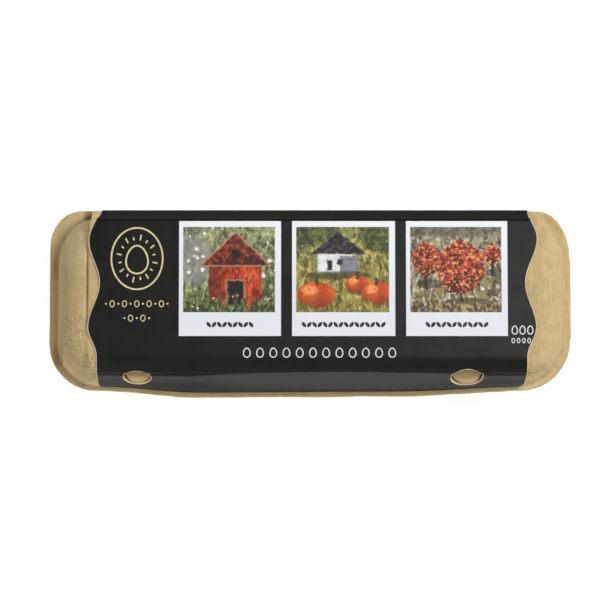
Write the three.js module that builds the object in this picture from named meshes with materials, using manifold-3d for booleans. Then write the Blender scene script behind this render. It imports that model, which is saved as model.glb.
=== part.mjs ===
// A shut moulded-pulp carton for twelve eggs, two rows of six, with a printed paper label glued over its lid.
// Millimetres, +Z up, +X along the carton, +Y towards the hinge at the back. The origin is on the table, under the
// middle of the carton. The carton is shut, so lid and tray are solid: nothing inside can be seen.
import * as THREE from "three";
import { mergeVertices } from "three/addons/utils/BufferGeometryUtils.js";
import Module from "manifold-3d";

const wasm = await Module();
wasm.setup();

// Driving dimensions
const LENGTH = 300;
const BACK_Y = 53.7; // outer edge of the flanges at the hinge
const FRONT_Y = -50.8; // outer edge of the flanges at the front corners
const FRONT_BULGE = 3.9; // how far the front edge bows out past that between the corners
const BULGE_LEFT = [-108, -70]; // along the front: where the bow starts, and where it is full
const BULGE_RIGHT = [50, 124]; // where it starts to fade, and where it has gone
// Plan radii of the flanges, along and across the carton
const CORNERS = {
  frontLeft: { along: 27.5, across: 27.5 },
  frontRight: { along: 30, across: 30 },
  backLeft: { along: 19, across: 20.8 },
  backRight: { along: 21.9, across: 30 },
};
const CORNER_SHARPENS = 0.6; // how much smaller a radius gets per millimetre inwards
const SEAM_Z = 40.3; // where lid and tray meet
const SEAM_GAP = 0.4;
const CLEARANCE = 0.3; // between pieces that touch

// Lid
const FLANGE_TOP = 42.8;
const LID_TOP = 67;
const END_FLANGE = 5; // widths of the flat flange round the lid
const BACK_FLANGE = 5.6;
const FRONT_FLANGE = 2.8;
const END_RUN = 19; // how far the domed walls lean in from flange to top
const BACK_RUN = 14;
const FRONT_BEND = { inset: 3.2, z: 54.5 }; // the front wall stands upright to here, then leans back
const FRONT_CREASE = { inset: 8.8, z: 62.5 }; // the crease where it meets the rounded shoulder
const FRONT_SHOULDER_RUN = 10.4;
const LID_HEIGHTS = [FLANGE_TOP, 48, FRONT_BEND.z, 59, FRONT_CREASE.z, 64.3, 65.6, 66.5, LID_TOP];

// Raised panel of the lid, under the label
const PANEL_CENTRE = 1.2;
const PANEL_HALF = 127.8;
const PANEL_TOP = 67.9;
const PANEL_BACK = { y: 53.2, z: 42.2 }; // its back wall runs down to the hinge
const PANEL_BACK_BEND = { y: 50.5, z: 61.5 }; // the back wall stands upright to here, then leans forward
const PANEL_BACK_TOP = { y: 45.7, z: 66.1 };
const PANEL_BACK_ROUND = 4.2;
const PANEL_FRONT_RUN = 9.4; // the front shoulder, down to the crease
const PANEL_BEVEL = 0.4;

// Label
const LABEL_THICK = 0.4;
const LABEL_CENTRE = 1;
const LABEL_HALF = 124.2; // to the middle of the wavy ends
// Crests and hollows of an end, from the back: the place across the top, and how far past the middle it reaches
const WAVE = [
  { at: 50.5, out: -2.7 },
  { at: 34.2, out: 3.1 },
  { at: 8.8, out: -3.1 },
  { at: -16.6, out: 3.4 },
  { at: -33.3, out: -1.5 },
];
const LABEL_BACK_Z = 42.7;
const LABEL_FRONT_Z = 44;
const LABEL_SWEEP = { left: 1.2, right: 3.6 }; // how far the ends draw in down the front wall
const LABEL_STEP = 6; // longest facet from back to front
const LABEL_ACROSS = 32; // facets along the carton

// Locks: eye-shaped holes in the lid's front, with the knobs of the tray's flap in them
const LOCKS = [
  { name: "lock_knob_left", x: -98.6, width: 16.2, height: 11.8 },
  { name: "lock_knob_right", x: 89.4, width: 19.2, height: 13.2 },
];
const LOCK_Z = 58.5;
const LOCK_DEPTH = 5.5;
const LOCK_RIM = 0.8; // how far the hole in the label clears the hole in the lid
const KNOB_INSET = { width: 1.4, height: 0.6 }; // how much smaller a knob is than its hole, all round
const KNOB_RINGS = [
  { out: 0.3 - LOCK_DEPTH, scale: 1 },
  { out: -1.6, scale: 1 },
  { out: -0.6, scale: 0.94 },
  { out: 0.1, scale: 0.82 },
  { out: 0.6, scale: 0.6 },
  { out: 0.85, scale: 0.3 },
];
const KNOB_POINTS = 24;

// Tray
const CUPS_ALONG = 6;
const CUPS_ACROSS = 2;
const CUP_PITCH = 48.3;
const CUP_TOP = 23.4; // half widths of a cup at the rim and at the foot
const CUP_BOTTOM = 13.2;
const CUP_FOOT = 11.2;
const CUP_SQUARENESS = 3; // exponent of the cup's rounded square
const CUP_POINTS = 24;
const CUP_HEIGHTS = [0, 0.8, 2.6, 9, 17, 25, 33, 36];
const FOOT_ROUND_Z = 2.6;
const RIM_UNDER = 37.4;
const RIM_WALL_Z = 31; // the wall under the rim runs round all the cups down to here
const WEB_HALF = 15; // the webs that join neighbouring cups
const WEB_Z = 17;
const POST_FOOT = 7; // the hollow posts between four cups, open underneath
const POST_TIP = 4.5;
const POST_TIP_Z = 37;

// Hinge
const HINGE = { left: -125.6, right: 128, low: 36.8, high: 41.6, thick: 0.7 };

// Rounding
const CORNER_STEPS = 6;
const FRONT_STEPS = 34;
const BACK_STEPS = 8;

const PULP = new THREE.Color(0xbfa779);
const pulpMaterial = () => new THREE.MeshStandardMaterial({ color: PULP, roughness: 0.95, metalness: 0 });
const labelMaterial = () => new THREE.MeshStandardMaterial({ color: 0x2b2b2a, roughness: 0.42, metalness: 0 });

const { smoothstep, clamp, lerp } = THREE.MathUtils;

// How far the front edge bows out at this place along the carton.
function bulge(x) {
  return FRONT_BULGE * smoothstep(x, ...BULGE_LEFT) * (1 - smoothstep(x, ...BULGE_RIGHT));
}

// The share of that bow which the front wall has at this height: all of it at the flange, none at the crease.
function bulgeShare(z) {
  return clamp((FRONT_CREASE.z - z) / (FRONT_CREASE.z - FLANGE_TOP), 0, 1);
}

// How far an elliptic dome has leaned in at this height, for a wall that leans in by run from low to high.
function domeInset(z, run, low, high) {
  const rise = clamp((z - low) / (high - low), 0, 1);
  return run * (1 - Math.sqrt(1 - rise * rise));
}

// How far the lid's front wall stands in from the outline at this height, without the bow.
function frontInset(z) {
  if (z <= FRONT_BEND.z) {
    return lerp(FRONT_FLANGE, FRONT_BEND.inset, (z - FLANGE_TOP) / (FRONT_BEND.z - FLANGE_TOP));
  }
  if (z <= FRONT_CREASE.z) {
    return lerp(FRONT_BEND.inset, FRONT_CREASE.inset, (z - FRONT_BEND.z) / (FRONT_CREASE.z - FRONT_BEND.z));
  }
  return FRONT_CREASE.inset + domeInset(z, FRONT_SHOULDER_RUN, FRONT_CREASE.z, LID_TOP);
}

// Where the lid's front wall is at this place along the carton and this height.
function frontWallY(x, z) {
  return FRONT_Y + frontInset(z) - bulge(x) * bulgeShare(z);
}

// One closed ring of the carton's plan at height z, anticlockwise from the front left, set in from the outline by
// these distances at its ends, front and back.
function planRing(z, end, front, back, share = 1) {
  const [left, right] = [end - LENGTH / 2, LENGTH / 2 - end];
  const [low, high] = [FRONT_Y + front, BACK_Y - back];
  const round = ({ along, across }) =>
    new THREE.Vector2(along, across).subScalar(CORNER_SHARPENS * end).max(new THREE.Vector2(8, 8));
  const [fl, fr] = [round(CORNERS.frontLeft), round(CORNERS.frontRight)];
  const [bl, br] = [round(CORNERS.backLeft), round(CORNERS.backRight)];
  const points = [];
  const corner = (x, y, radius, from) => {
    for (let i = 0; i <= CORNER_STEPS; i++) {
      const angle = from + (i / CORNER_STEPS) * (Math.PI / 2);
      points.push(new THREE.Vector3(x + radius.x * Math.cos(angle), y + radius.y * Math.sin(angle), z));
    }
  };
  corner(left + fl.x, low + fl.y, fl, Math.PI);
  for (let i = 1; i < FRONT_STEPS; i++) {
    const x = lerp(left + fl.x, right - fr.x, i / FRONT_STEPS);
    points.push(new THREE.Vector3(x, low - share * bulge(x), z));
  }
  corner(right - fr.x, low + fr.y, fr, -Math.PI / 2);
  corner(right - br.x, high - br.y, br, 0);
  for (let i = 1; i < BACK_STEPS; i++) {
    points.push(new THREE.Vector3(lerp(right - br.x, left + bl.x, i / BACK_STEPS), high, z));
  }
  corner(left + bl.x, high - bl.y, bl, Math.PI / 2);
  return points;
}

// A closed solid through rings that are stacked upwards, each anticlockwise from above and as long as the others.
function loft(rings) {
  const count = rings[0].length;
  const index = [];
  for (let k = 0; k + 1 < rings.length; k++) {
    for (let i = 0; i < count; i++) {
      const [a, b] = [k * count + i, k * count + ((i + 1) % count)];
      index.push(a, b, b + count, a, b + count, a + count);
    }
  }
  const flat = (ring) => ring.map((p) => new THREE.Vector2(p.x, p.y));
  const top = (rings.length - 1) * count;
  for (const [a, b, c] of THREE.ShapeUtils.triangulateShape(flat(rings[0]), [])) index.push(a, c, b);
  for (const [a, b, c] of THREE.ShapeUtils.triangulateShape(flat(rings.at(-1)), [])) {
    index.push(top + a, top + b, top + c);
  }
  return new THREE.BufferGeometry().setFromPoints(rings.flat()).setIndex(index);
}

// A thin closed sheet between two grids of points, each grid[row][column], with the outer grid on the outside.
function sheet(outer, inner) {
  const [rows, columns] = [outer.length, outer[0].length];
  const index = [];
  const at = (layer, row, column) => (layer * rows + row) * columns + column;
  const quad = (a, b, c, d) => index.push(a, b, c, a, c, d);
  for (let r = 0; r + 1 < rows; r++) {
    for (let c = 0; c + 1 < columns; c++) {
      quad(at(0, r, c), at(0, r, c + 1), at(0, r + 1, c + 1), at(0, r + 1, c));
      quad(at(1, r, c), at(1, r + 1, c), at(1, r + 1, c + 1), at(1, r, c + 1));
    }
  }
  const last = { row: rows - 1, column: columns - 1 };
  for (let r = 0; r + 1 < rows; r++) {
    quad(at(0, r, 0), at(0, r + 1, 0), at(1, r + 1, 0), at(1, r, 0));
    quad(at(0, r + 1, last.column), at(0, r, last.column), at(1, r, last.column), at(1, r + 1, last.column));
  }
  for (let c = 0; c + 1 < columns; c++) {
    quad(at(0, 0, c + 1), at(0, 0, c), at(1, 0, c), at(1, 0, c + 1));
    quad(at(0, last.row, c), at(0, last.row, c + 1), at(1, last.row, c + 1), at(1, last.row, c));
  }
  return new THREE.BufferGeometry().setFromPoints([...outer.flat(), ...inner.flat()]).setIndex(index);
}

// Turns a closed geometry into a solid that can be joined and cut.
function toSolid(geometry) {
  const bare = geometry.clone();
  bare.deleteAttribute("normal");
  bare.deleteAttribute("uv");
  const merged = mergeVertices(bare, 1e-4);
  return new wasm.Manifold(
    new wasm.Mesh({
      numProp: 3,
      vertProperties: merged.attributes.position.array,
      triVerts: new Uint32Array(merged.index.array),
    }),
  );
}

function toMesh(name, solid, material) {
  const cut = solid.getMesh();
  const geometry = new THREE.BufferGeometry()
    .setAttribute("position", new THREE.BufferAttribute(cut.vertProperties, 3))
    .setIndex(new THREE.BufferAttribute(cut.triVerts, 1))
    .toNonIndexed();
  geometry.computeVertexNormals();
  const mesh = new THREE.Mesh(geometry, material);
  mesh.name = name;
  return mesh;
}

// A line of points without those that lie on the one before them, or on the first.
function distinct(points) {
  const apart = (a, b) => a.distanceTo(b) > 1e-3;
  const kept = points.filter((point, i) => i === 0 || apart(point, points[i - 1]));
  return apart(kept[0], kept.at(-1)) ? kept : kept.slice(0, -1);
}

// Turns a shape drawn in (y, z) and extruded by this length into one that runs along the carton about its middle.
function alongCarton(geometry, length) {
  const axes = new THREE.Matrix4().makeBasis(
    new THREE.Vector3(0, 1, 0),
    new THREE.Vector3(0, 0, 1),
    new THREE.Vector3(1, 0, 0),
  );
  return geometry.translate(0, 0, -length / 2).applyMatrix4(axes);
}

// The outside of the raised panel in (y, z), from the hinge up the back wall, over the top and down to the crease.
function panelProfile() {
  const creaseY = FRONT_Y + FRONT_CREASE.inset;
  const { y, z } = PANEL_BACK_TOP;
  const path = new THREE.Path();
  path.moveTo(PANEL_BACK.y, PANEL_BACK.z);
  path.lineTo(PANEL_BACK_BEND.y, PANEL_BACK_BEND.z);
  path.lineTo(y, z);
  path.quadraticCurveTo(y - 0.18 * PANEL_BACK_ROUND, PANEL_TOP, y - PANEL_BACK_ROUND, PANEL_TOP);
  path.lineTo(creaseY + PANEL_FRONT_RUN, PANEL_TOP);
  const rise = PANEL_TOP - FRONT_CREASE.z;
  path.absellipse(creaseY + PANEL_FRONT_RUN, FRONT_CREASE.z, PANEL_FRONT_RUN, rise, Math.PI / 2, Math.PI);
  return distinct(path.getPoints(4));
}

function panel() {
  const outside = panelProfile();
  const shape = new THREE.Shape([
    ...outside,
    new THREE.Vector2(outside.at(-1).x + 2, SEAM_Z + 6),
    new THREE.Vector2(PANEL_BACK.y - 8, SEAM_Z + 1.2),
    new THREE.Vector2(PANEL_BACK.y - 1, SEAM_Z + 1),
  ]);
  const length = 2 * (PANEL_HALF - PANEL_BEVEL);
  const made = new THREE.ExtrudeGeometry(shape, {
    depth: length,
    bevelThickness: PANEL_BEVEL,
    bevelSize: PANEL_BEVEL,
    bevelOffset: -PANEL_BEVEL,
    bevelSegments: 1,
  });
  return alongCarton(made, length).translate(PANEL_CENTRE, 0, 0);
}

// An eye shape: two arcs that meet in a point at each side.
function eyeShape(width, height) {
  const [w, h] = [width / 2, height / 2];
  const radius = (w * w + h * h) / (2 * h);
  const sweep = Math.asin(w / radius);
  const path = new THREE.Path();
  path.absarc(0, h - radius, radius, Math.PI / 2 - sweep, Math.PI / 2 + sweep, false);
  path.absarc(0, radius - h, radius, (3 * Math.PI) / 2 - sweep, (3 * Math.PI) / 2 + sweep, false);
  return new THREE.Shape(distinct(path.getPoints(8)));
}

// Stands a piece drawn in its own x and y, with its z outwards, on the leaning front wall at a lock.
function onFrontWall(geometry, x) {
  const lean = Math.atan2(FRONT_CREASE.inset - FRONT_BEND.inset, FRONT_CREASE.z - FRONT_BEND.z);
  const up = new THREE.Vector3(0, Math.sin(lean), Math.cos(lean));
  const out = new THREE.Vector3(0, -Math.cos(lean), Math.sin(lean));
  const place = new THREE.Matrix4().makeBasis(new THREE.Vector3(1, 0, 0), up, out);
  return geometry.applyMatrix4(place.setPosition(x, frontWallY(x, LOCK_Z), LOCK_Z));
}

// The prism that cuts a lock's hole, from this depth under the wall's surface to well outside it.
function lockCutter(lock, grow, depth) {
  const shape = eyeShape(lock.width + 3 * grow, lock.height + 2 * grow);
  const cutter = new THREE.ExtrudeGeometry(shape, { depth: depth + 8, bevelEnabled: false });
  return toSolid(onFrontWall(cutter.translate(0, 0, -depth), lock.x));
}

// A lock's knob: a dome rounder than its hole, so that dark corners show beside it.
function lockKnob(lock) {
  const [w, h] = [lock.width / 2 - KNOB_INSET.width, lock.height / 2 - KNOB_INSET.height];
  const rings = KNOB_RINGS.map(({ out, scale }) =>
    Array.from({ length: KNOB_POINTS }, (_, i) => {
      const angle = (2 * Math.PI * i) / KNOB_POINTS;
      return new THREE.Vector3(scale * w * Math.cos(angle), scale * h * Math.sin(angle), out);
    }),
  );
  return toSolid(onFrontWall(loft(rings), lock.x));
}

function lid() {
  const bottom = SEAM_Z + SEAM_GAP / 2;
  const rings = [
    planRing(bottom, 0.6, 0.6, 0.6),
    planRing(bottom + 0.7, 0, 0, 0),
    planRing(FLANGE_TOP - 0.7, 0, 0, 0),
    planRing(FLANGE_TOP - 0.1, 0.6, 0.5, 0.6),
  ];
  for (const z of LID_HEIGHTS) {
    const end = END_FLANGE + domeInset(z, END_RUN, FLANGE_TOP, LID_TOP);
    const back = BACK_FLANGE + domeInset(z, BACK_RUN, FLANGE_TOP, LID_TOP);
    rings.push(planRing(z, end, frontInset(z), back, bulgeShare(z)));
  }
  let body = toSolid(loft(rings)).add(toSolid(panel()));
  for (const lock of LOCKS) body = body.subtract(lockCutter(lock, 0, LOCK_DEPTH));
  return body;
}

// The same line with its long pieces cut into equal parts no longer than a step.
function refine(line, step) {
  const points = [line[0]];
  for (let i = 1; i < line.length; i++) {
    const parts = Math.ceil(line[i - 1].distanceTo(line[i]) / step);
    for (let k = 1; k <= parts; k++) points.push(line[i - 1].clone().lerp(line[i], k / parts));
  }
  return points;
}

// The lid's skin under the label in (y, z) at this place along the carton, from the back edge to the front one.
function skinProfile(x) {
  const over = panelProfile();
  const [low, high] = over;
  const backEdge = low.clone().lerp(high, (LABEL_BACK_Z - low.y) / (high.y - low.y));
  const wall = [60, 57.5, FRONT_BEND.z, 49, LABEL_FRONT_Z].map((z) => new THREE.Vector2(frontWallY(x, z), z));
  return [...refine([backEdge, ...over.slice(1)], LABEL_STEP), ...wall];
}

// The same profile moved outwards by a distance.
function offsetProfile(profile, distance) {
  return profile.map((point, i) => {
    const before = profile[Math.max(i - 1, 0)];
    const after = profile[Math.min(i + 1, profile.length - 1)];
    const along = after.clone().sub(before).normalize();
    return new THREE.Vector2(point.x + along.y * distance, point.y - along.x * distance);
  });
}

// How far across the label each point of a profile lies: its y on the flat top, and by its length past that.
function labelRuler(profile) {
  const start = profile.findIndex((p) => p.y > PANEL_TOP - 0.01);
  const ruler = profile.map((p) => p.x);
  for (let i = start - 1; i >= 0; i--) ruler[i] = ruler[i + 1] + profile[i].distanceTo(profile[i + 1]);
  for (let i = start + 1; i < profile.length; i++) ruler[i] = ruler[i - 1] - profile[i].distanceTo(profile[i - 1]);
  return ruler;
}

// The wave of a label's end at this place across it.
function wave(across) {
  const next = WAVE.findIndex(({ at }) => at < across);
  if (next === 0) return WAVE[0].out;
  if (next < 0) return WAVE.at(-1).out;
  const [from, to] = [WAVE[next - 1], WAVE[next]];
  const share = (from.at - across) / (from.at - to.at);
  return lerp(from.out, to.out, 0.5 - 0.5 * Math.cos(Math.PI * share));
}

// How far out an end of the label reaches at this place across it: a wave over the top, drawn in down the front wall.
function labelReach(across, crease, edge, sweep) {
  return LABEL_HALF + wave(across) - sweep * Math.pow(clamp((crease - across) / (crease - edge), 0, 1), 1.5);
}

function label() {
  const middle = skinProfile(0);
  const ruler = labelRuler(middle);
  const crease = ruler[middle.findIndex((p) => p.x < 0 && p.y < FRONT_CREASE.z + 0.01)];
  const edge = ruler.at(-1);
  const grid = (distance) =>
    ruler.map((across, row) => {
      const left = LABEL_CENTRE - labelReach(across, crease, edge, LABEL_SWEEP.left);
      const right = LABEL_CENTRE + labelReach(across, crease, edge, LABEL_SWEEP.right);
      return Array.from({ length: LABEL_ACROSS + 1 }, (_, i) => {
        const x = lerp(left, right, i / LABEL_ACROSS);
        const point = offsetProfile(skinProfile(x), distance)[row];
        return new THREE.Vector3(x, point.x, point.y);
      });
    });
  let body = toSolid(sheet(grid(CLEARANCE + LABEL_THICK).reverse(), grid(CLEARANCE).reverse()));
  for (const lock of LOCKS) body = body.subtract(lockCutter(lock, LOCK_RIM, 2));
  return body;
}

// A ring of a cup at height z: a rounded square of this half width.
function cupRing(x, y, z, half) {
  return Array.from({ length: CUP_POINTS }, (_, i) => {
    const angle = (2 * Math.PI * (i + 0.5)) / CUP_POINTS;
    const [c, s] = [Math.cos(angle), Math.sin(angle)];
    const radius = half / (Math.abs(c) ** CUP_SQUARENESS + Math.abs(s) ** CUP_SQUARENESS) ** (1 / CUP_SQUARENESS);
    return new THREE.Vector3(x + radius * c, y + radius * s, z);
  });
}

// A cup's half width at height z: a rounded foot, then a wall that leans out.
function cupHalf(z) {
  const wall = lerp(CUP_BOTTOM, CUP_TOP, Math.pow(z / CUP_HEIGHTS.at(-1), 0.92));
  const foot = clamp(1 - z / FOOT_ROUND_Z, 0, 1);
  return wall - (CUP_BOTTOM - CUP_FOOT) * foot * foot;
}

function cup(x, y) {
  return toSolid(loft(CUP_HEIGHTS.map((z) => cupRing(x, y, z, cupHalf(z)))));
}

// A web with an arched underside, drawn in (across, z) and this long.
function web(length) {
  const shape = new THREE.Shape();
  shape.moveTo(-WEB_HALF, RIM_WALL_Z + 3);
  shape.quadraticCurveTo(-0.6 * WEB_HALF, WEB_Z, 0, WEB_Z);
  shape.quadraticCurveTo(0.6 * WEB_HALF, WEB_Z, WEB_HALF, RIM_WALL_Z + 3);
  return new THREE.ExtrudeGeometry(shape, { depth: length, bevelEnabled: false, curveSegments: 4 });
}

// The hollow under a post, between four cups.
function postHollow(x, y) {
  const height = POST_TIP_Z - (RIM_WALL_Z - 4);
  const cone = new THREE.CylinderGeometry(POST_TIP, POST_FOOT, height, 16);
  return toSolid(cone.rotateX(Math.PI / 2).translate(x, y, POST_TIP_Z - height / 2));
}

function tray() {
  const top = SEAM_Z - SEAM_GAP / 2;
  const rim = loft([
    planRing(RIM_WALL_Z, 7.2, 5.4, 6.2),
    planRing(RIM_UNDER - 0.6, 5.6, 3.6, 4.4),
    planRing(RIM_UNDER, 0.7, 0.6, 0.7),
    planRing(RIM_UNDER + 0.7, 0, 0, 0),
    planRing(top - 0.6, 0, 0, 0),
    planRing(top, 0.5, 0.5, 0.5),
  ]);
  const middleY = (BACK_Y + FRONT_Y) / 2;
  const spread = (count) => Array.from({ length: count }, (_, i) => (i - (count - 1) / 2) * CUP_PITCH);
  const [columns, rows] = [spread(CUPS_ALONG), spread(CUPS_ACROSS)];
  const [spanX, spanY] = [columns.at(-1) - columns[0], rows.at(-1) - rows[0]];
  const pieces = [toSolid(rim)];
  for (const y of rows) {
    pieces.push(toSolid(alongCarton(web(spanX), spanX).translate(0, middleY + y, 0)));
    for (const x of columns) pieces.push(cup(x, middleY + y));
  }
  for (const x of columns) {
    pieces.push(toSolid(alongCarton(web(spanY), spanY).rotateZ(Math.PI / 2).translate(x, middleY, 0)));
  }
  let body = pieces.reduce((joined, piece) => joined.add(piece));
  for (const x of spread(CUPS_ALONG - 1)) body = body.subtract(postHollow(x, middleY));
  return body;
}

// The fold that joins lid and tray along the back.
function hinge() {
  const { left, right, low, high, thick } = HINGE;
  const inner = BACK_Y + CLEARANCE;
  const shape = new THREE.Shape([
    new THREE.Vector2(inner, low),
    new THREE.Vector2(inner + 0.5 * thick, low + 0.2),
    new THREE.Vector2(inner + thick, lerp(low, high, 0.3)),
    new THREE.Vector2(inner + thick, lerp(low, high, 0.7)),
    new THREE.Vector2(inner + 0.5 * thick, high - 0.2),
    new THREE.Vector2(inner, high),
  ]);
  const length = right - left;
  const made = new THREE.ExtrudeGeometry(shape, { depth: length, bevelEnabled: false });
  return toSolid(alongCarton(made, length).translate((left + right) / 2, 0, 0));
}

const carton = new THREE.Group();
carton.name = "egg_carton";
carton.add(toMesh("tray", tray(), pulpMaterial()));
carton.add(toMesh("lid", lid(), pulpMaterial()));
carton.add(toMesh("hinge", hinge(), pulpMaterial()));
carton.add(toMesh("label", label(), labelMaterial()));
for (const lock of LOCKS) carton.add(toMesh(lock.name, lockKnob(lock), pulpMaterial()));

export default carton;
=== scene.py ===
"""A shut moulded-pulp egg carton with a printed paper label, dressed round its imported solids.

Shapes are worked out in millimetres and become metres when a mesh is made. +X runs along the carton, +Y
towards its hinge at the back and +Z up, with the origin on the table under its middle.
"""

import math

import bpy
import numpy as np
from bpy.props import FloatProperty, FloatVectorProperty, IntProperty, PointerProperty
from bpy.types import Operator, Panel, PropertyGroup
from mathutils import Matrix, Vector, noise
from mathutils.bvhtree import BVHTree


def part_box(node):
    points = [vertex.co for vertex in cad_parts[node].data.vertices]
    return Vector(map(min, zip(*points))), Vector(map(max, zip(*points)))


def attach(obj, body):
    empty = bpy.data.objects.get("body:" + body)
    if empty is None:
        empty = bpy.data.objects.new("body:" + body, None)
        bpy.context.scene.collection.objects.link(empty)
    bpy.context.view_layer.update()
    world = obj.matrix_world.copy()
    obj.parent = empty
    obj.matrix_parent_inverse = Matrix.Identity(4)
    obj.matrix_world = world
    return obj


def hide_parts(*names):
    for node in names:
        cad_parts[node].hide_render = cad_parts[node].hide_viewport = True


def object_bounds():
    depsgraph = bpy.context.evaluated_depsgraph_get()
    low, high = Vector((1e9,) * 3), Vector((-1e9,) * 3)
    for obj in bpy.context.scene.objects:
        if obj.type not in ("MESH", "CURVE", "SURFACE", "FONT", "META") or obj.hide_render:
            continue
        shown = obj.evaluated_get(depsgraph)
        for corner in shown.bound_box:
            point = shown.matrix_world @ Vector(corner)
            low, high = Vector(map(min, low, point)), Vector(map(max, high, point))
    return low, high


bl_info = {
    "name": "Egg carton",
    "version": (1, 0, 0),
    "blender": (4, 5, 0),
    "location": "3D View > Sidebar > Egg carton",
    "description": "A shut pulp carton for twelve eggs, with a printed label over its lid",
    "category": "Mesh",
}

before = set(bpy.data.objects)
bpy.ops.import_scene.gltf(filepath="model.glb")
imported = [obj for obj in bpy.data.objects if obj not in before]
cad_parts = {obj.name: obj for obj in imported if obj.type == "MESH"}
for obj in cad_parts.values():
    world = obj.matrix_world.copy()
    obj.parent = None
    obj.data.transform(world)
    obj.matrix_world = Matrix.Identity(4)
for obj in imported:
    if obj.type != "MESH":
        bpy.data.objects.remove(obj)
CAD_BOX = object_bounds()
MM = 0.001


def box_mm(node):
    """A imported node's lowest and highest corners, in millimetres."""
    return tuple(np.array(corner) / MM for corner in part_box(node))


LID_LOW, LID_HIGH = box_mm("lid")
TRAY_TOP = box_mm("tray")[1][2]
HINGE_LOW, HINGE_HIGH = box_mm("hinge")
HINGE_SWELL = 0.2
HINGE_END = 7

# Outline of the flanges, seen from above
LENGTH = LID_HIGH[0] - LID_LOW[0]
BACK_Y = LID_HIGH[1]
FRONT_BULGE = 3.9
FRONT_Y = LID_LOW[1] + FRONT_BULGE
BULGE_LEFT = (-122, -62)
BULGE_RIGHT = (50, 124)
# The bow is this much weaker from the second place on than before the first
BULGE_SLACK, BULGE_SLACKENS = 0.2, (-80, 50)
# Radii of its corners, along the carton and across it
CORNERS = {
    "front_left": (27.5, 27.5),
    "front_right": (30, 30),
    "back_left": (19, 20.8),
    "back_right": (18.4, 27.7),
}
CORNER_SHARPENS = 0.6
DOME_CORNERS = {**CORNERS, "back_left": (23.5, 29.5), "back_right": (21.9, 30)}

# Lid, from its flange up
LID_UNDER = LID_LOW[2]
FLANGE_TOP = LID_UNDER + 2.3
LID_TOP = LID_HIGH[2] - 0.9
END_FLANGE = 5
BACK_FLANGE = 5.6
FRONT_FLANGE = 2.8
END_RUN = 19
BACK_RUN = 14
FRONT_BEND_Z, FRONT_BEND_ROUND = 54.5, 1.1
FRONT_CREASE = {"inset": 8.8, "z": 62.5}
FRONT_LEAN = {"low": 0.034, "high": 0.7}
FRONT_SHOULDER_RUN = 10.4
# A notch in the back flange, by where its sides start and end, and dents as x, y, radius and depth
NOTCH = {"left": (-132, -128.5), "right": (-125.6, -124.9), "front": (48, 49.2), "back": (52.2, 53.2)}
NOTCH_DEPTH = 1.2
DENTS = ((-128, -36.5, 2.6, 0.8), (133, -40.5, 3, 0.9))

# Raised panel under the label
PANEL_LEFT, PANEL_RIGHT = -126.6, 138
PANEL_BACK_STEP = 1.7
PANEL_RIGHT_FADE = 12
PANEL_TOP = LID_HIGH[2] - 0.2
PANEL_BACK = (53.2, 42.2)
PANEL_BACK_BEND = (50.5, 61.5)
PANEL_BACK_TOP = (45.7, 66.1)
PANEL_BACK_ROUND = 2.2
PANEL_FRONT_RUN = 9.4

# Label
LABEL_GAP, LABEL_LIFT = 0.3, 0.7
LABEL_CENTRE = 1
LABEL_HALF = 124.2
# Crests and hollows of its ends, from the back: the place across, and how far past the middle each reaches
WAVES = {
    "left": ((54.5, -3.9), (33, 3.1), (8.8, -3.1), (-16.6, 3.4), (-33.3, -1.5)),
    "right": ((50.5, -0.8), (34.2, 4.1), (8.8, -2.7), (-16.6, 3.4), (-33.3, -1.7)),
}
LABEL_BACK_Z = 42.7
LABEL_FRONT_Z = 44.8
LABEL_SWEEP = {"left": 1.2, "right": 3.6}
LABEL_STEP = 1.3
LABEL_COLUMNS = 190
# Where its front fold arches up, the heights of the painted sheen under it, and where the gloss is rubbed off
# by height and by place across
FOLD_MIDDLE, FOLD_HALF, FOLD_ARCH, FOLD_LEAST = 15, 90, 4, -0.7
FRONT_SHEEN_Z, FRONT_DULL_Z = (50.5, 61), (60, 51)
BACK_RUBS = ((43.5, 46, 0.5), (49.5, 51.2, 0.9))

# Lock holes in the front wall: place along the carton, width, height and turn in degrees
LOCKS = {"left": (-98.5, 15.8, 11.6, -5), "right": (89.2, 18.5, 13.8, 8)}
LOCK_Z = 59.8
LOCK_DEPTH = 5.5
LOCK_BLUNT = (0.8, 0.35)
# How far each lower corner of a knob is drawn in, and how far the knob is off the hole's middle
KNOB_CORNERS = {"left": (0.75, 0), "right": (0.55, 0.7)}
KNOB_SHIFT = {"left": (0.15, 0), "right": (0, 0)}
KNOB_DEPTH, KNOB_DOME = 2.3, 2.2

# Patches of coarse pulp, of darker spots (stains and painted shade) and of paler spots (partly painted light),
# seen from above: x, y, half width, half length and strength
COARSE_PATCHES = (
    (-135, -20, 9, 16, 0.8),
    (-126, -35, 5, 7, 0.9),
    (-133, 26, 6, 13, 0.3),
    (128, -20, 9, 26, 0.12),
)
# Darker spots. Painted shadow in the notch, where the panel's end shades the back flange, and along the
# panel's left crease; painted shade on the left flange and end in the dome's shadow, in the right dent, along
# the front flange and over the knobs' upper halves under the holes' edges. The others darken the pulp at their
# places.
STAINS_AND_PAINTED_SHADE = (
    (-127.8, 50.6, 3.6, 3.0, 0.6),
    (-144.5, -31, 4, 8, 0.4),
    (-146, 21, 2.4, 9, 0.35),
    (-130.4, -47.6, 1.3, 0.8, 0.5),
    (132.5, -40.5, 5, 4, 0.25),
    (-138, 50, 8, 3.5, 0.12),
    (135, 44, 9, 9, 0.1),
    (0, -54, 80, 4, 0.15),
    (-127.1, 9, 0.7, 25, 0.6),
    (-98.6, -41.6, 8, 3.2, 0.4),
    (89.4, -42.2, 9.5, 3.6, 0.4),
    (-142.5, 4, 4.5, 42, 0.16),
    (140, 0, 18, 60, 0.09),
)
# Paler spots: painted light at the back-left corner of the lid, and lighter patches along the front flange
# towards its ends
PALE_AND_PAINTED_LIGHT_PATCHES = ((-132, 34, 13, 20, 0.3), (-115, -50.5, 22, 5, 0.5), (112, -50.5, 20, 5, 0.5))

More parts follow.
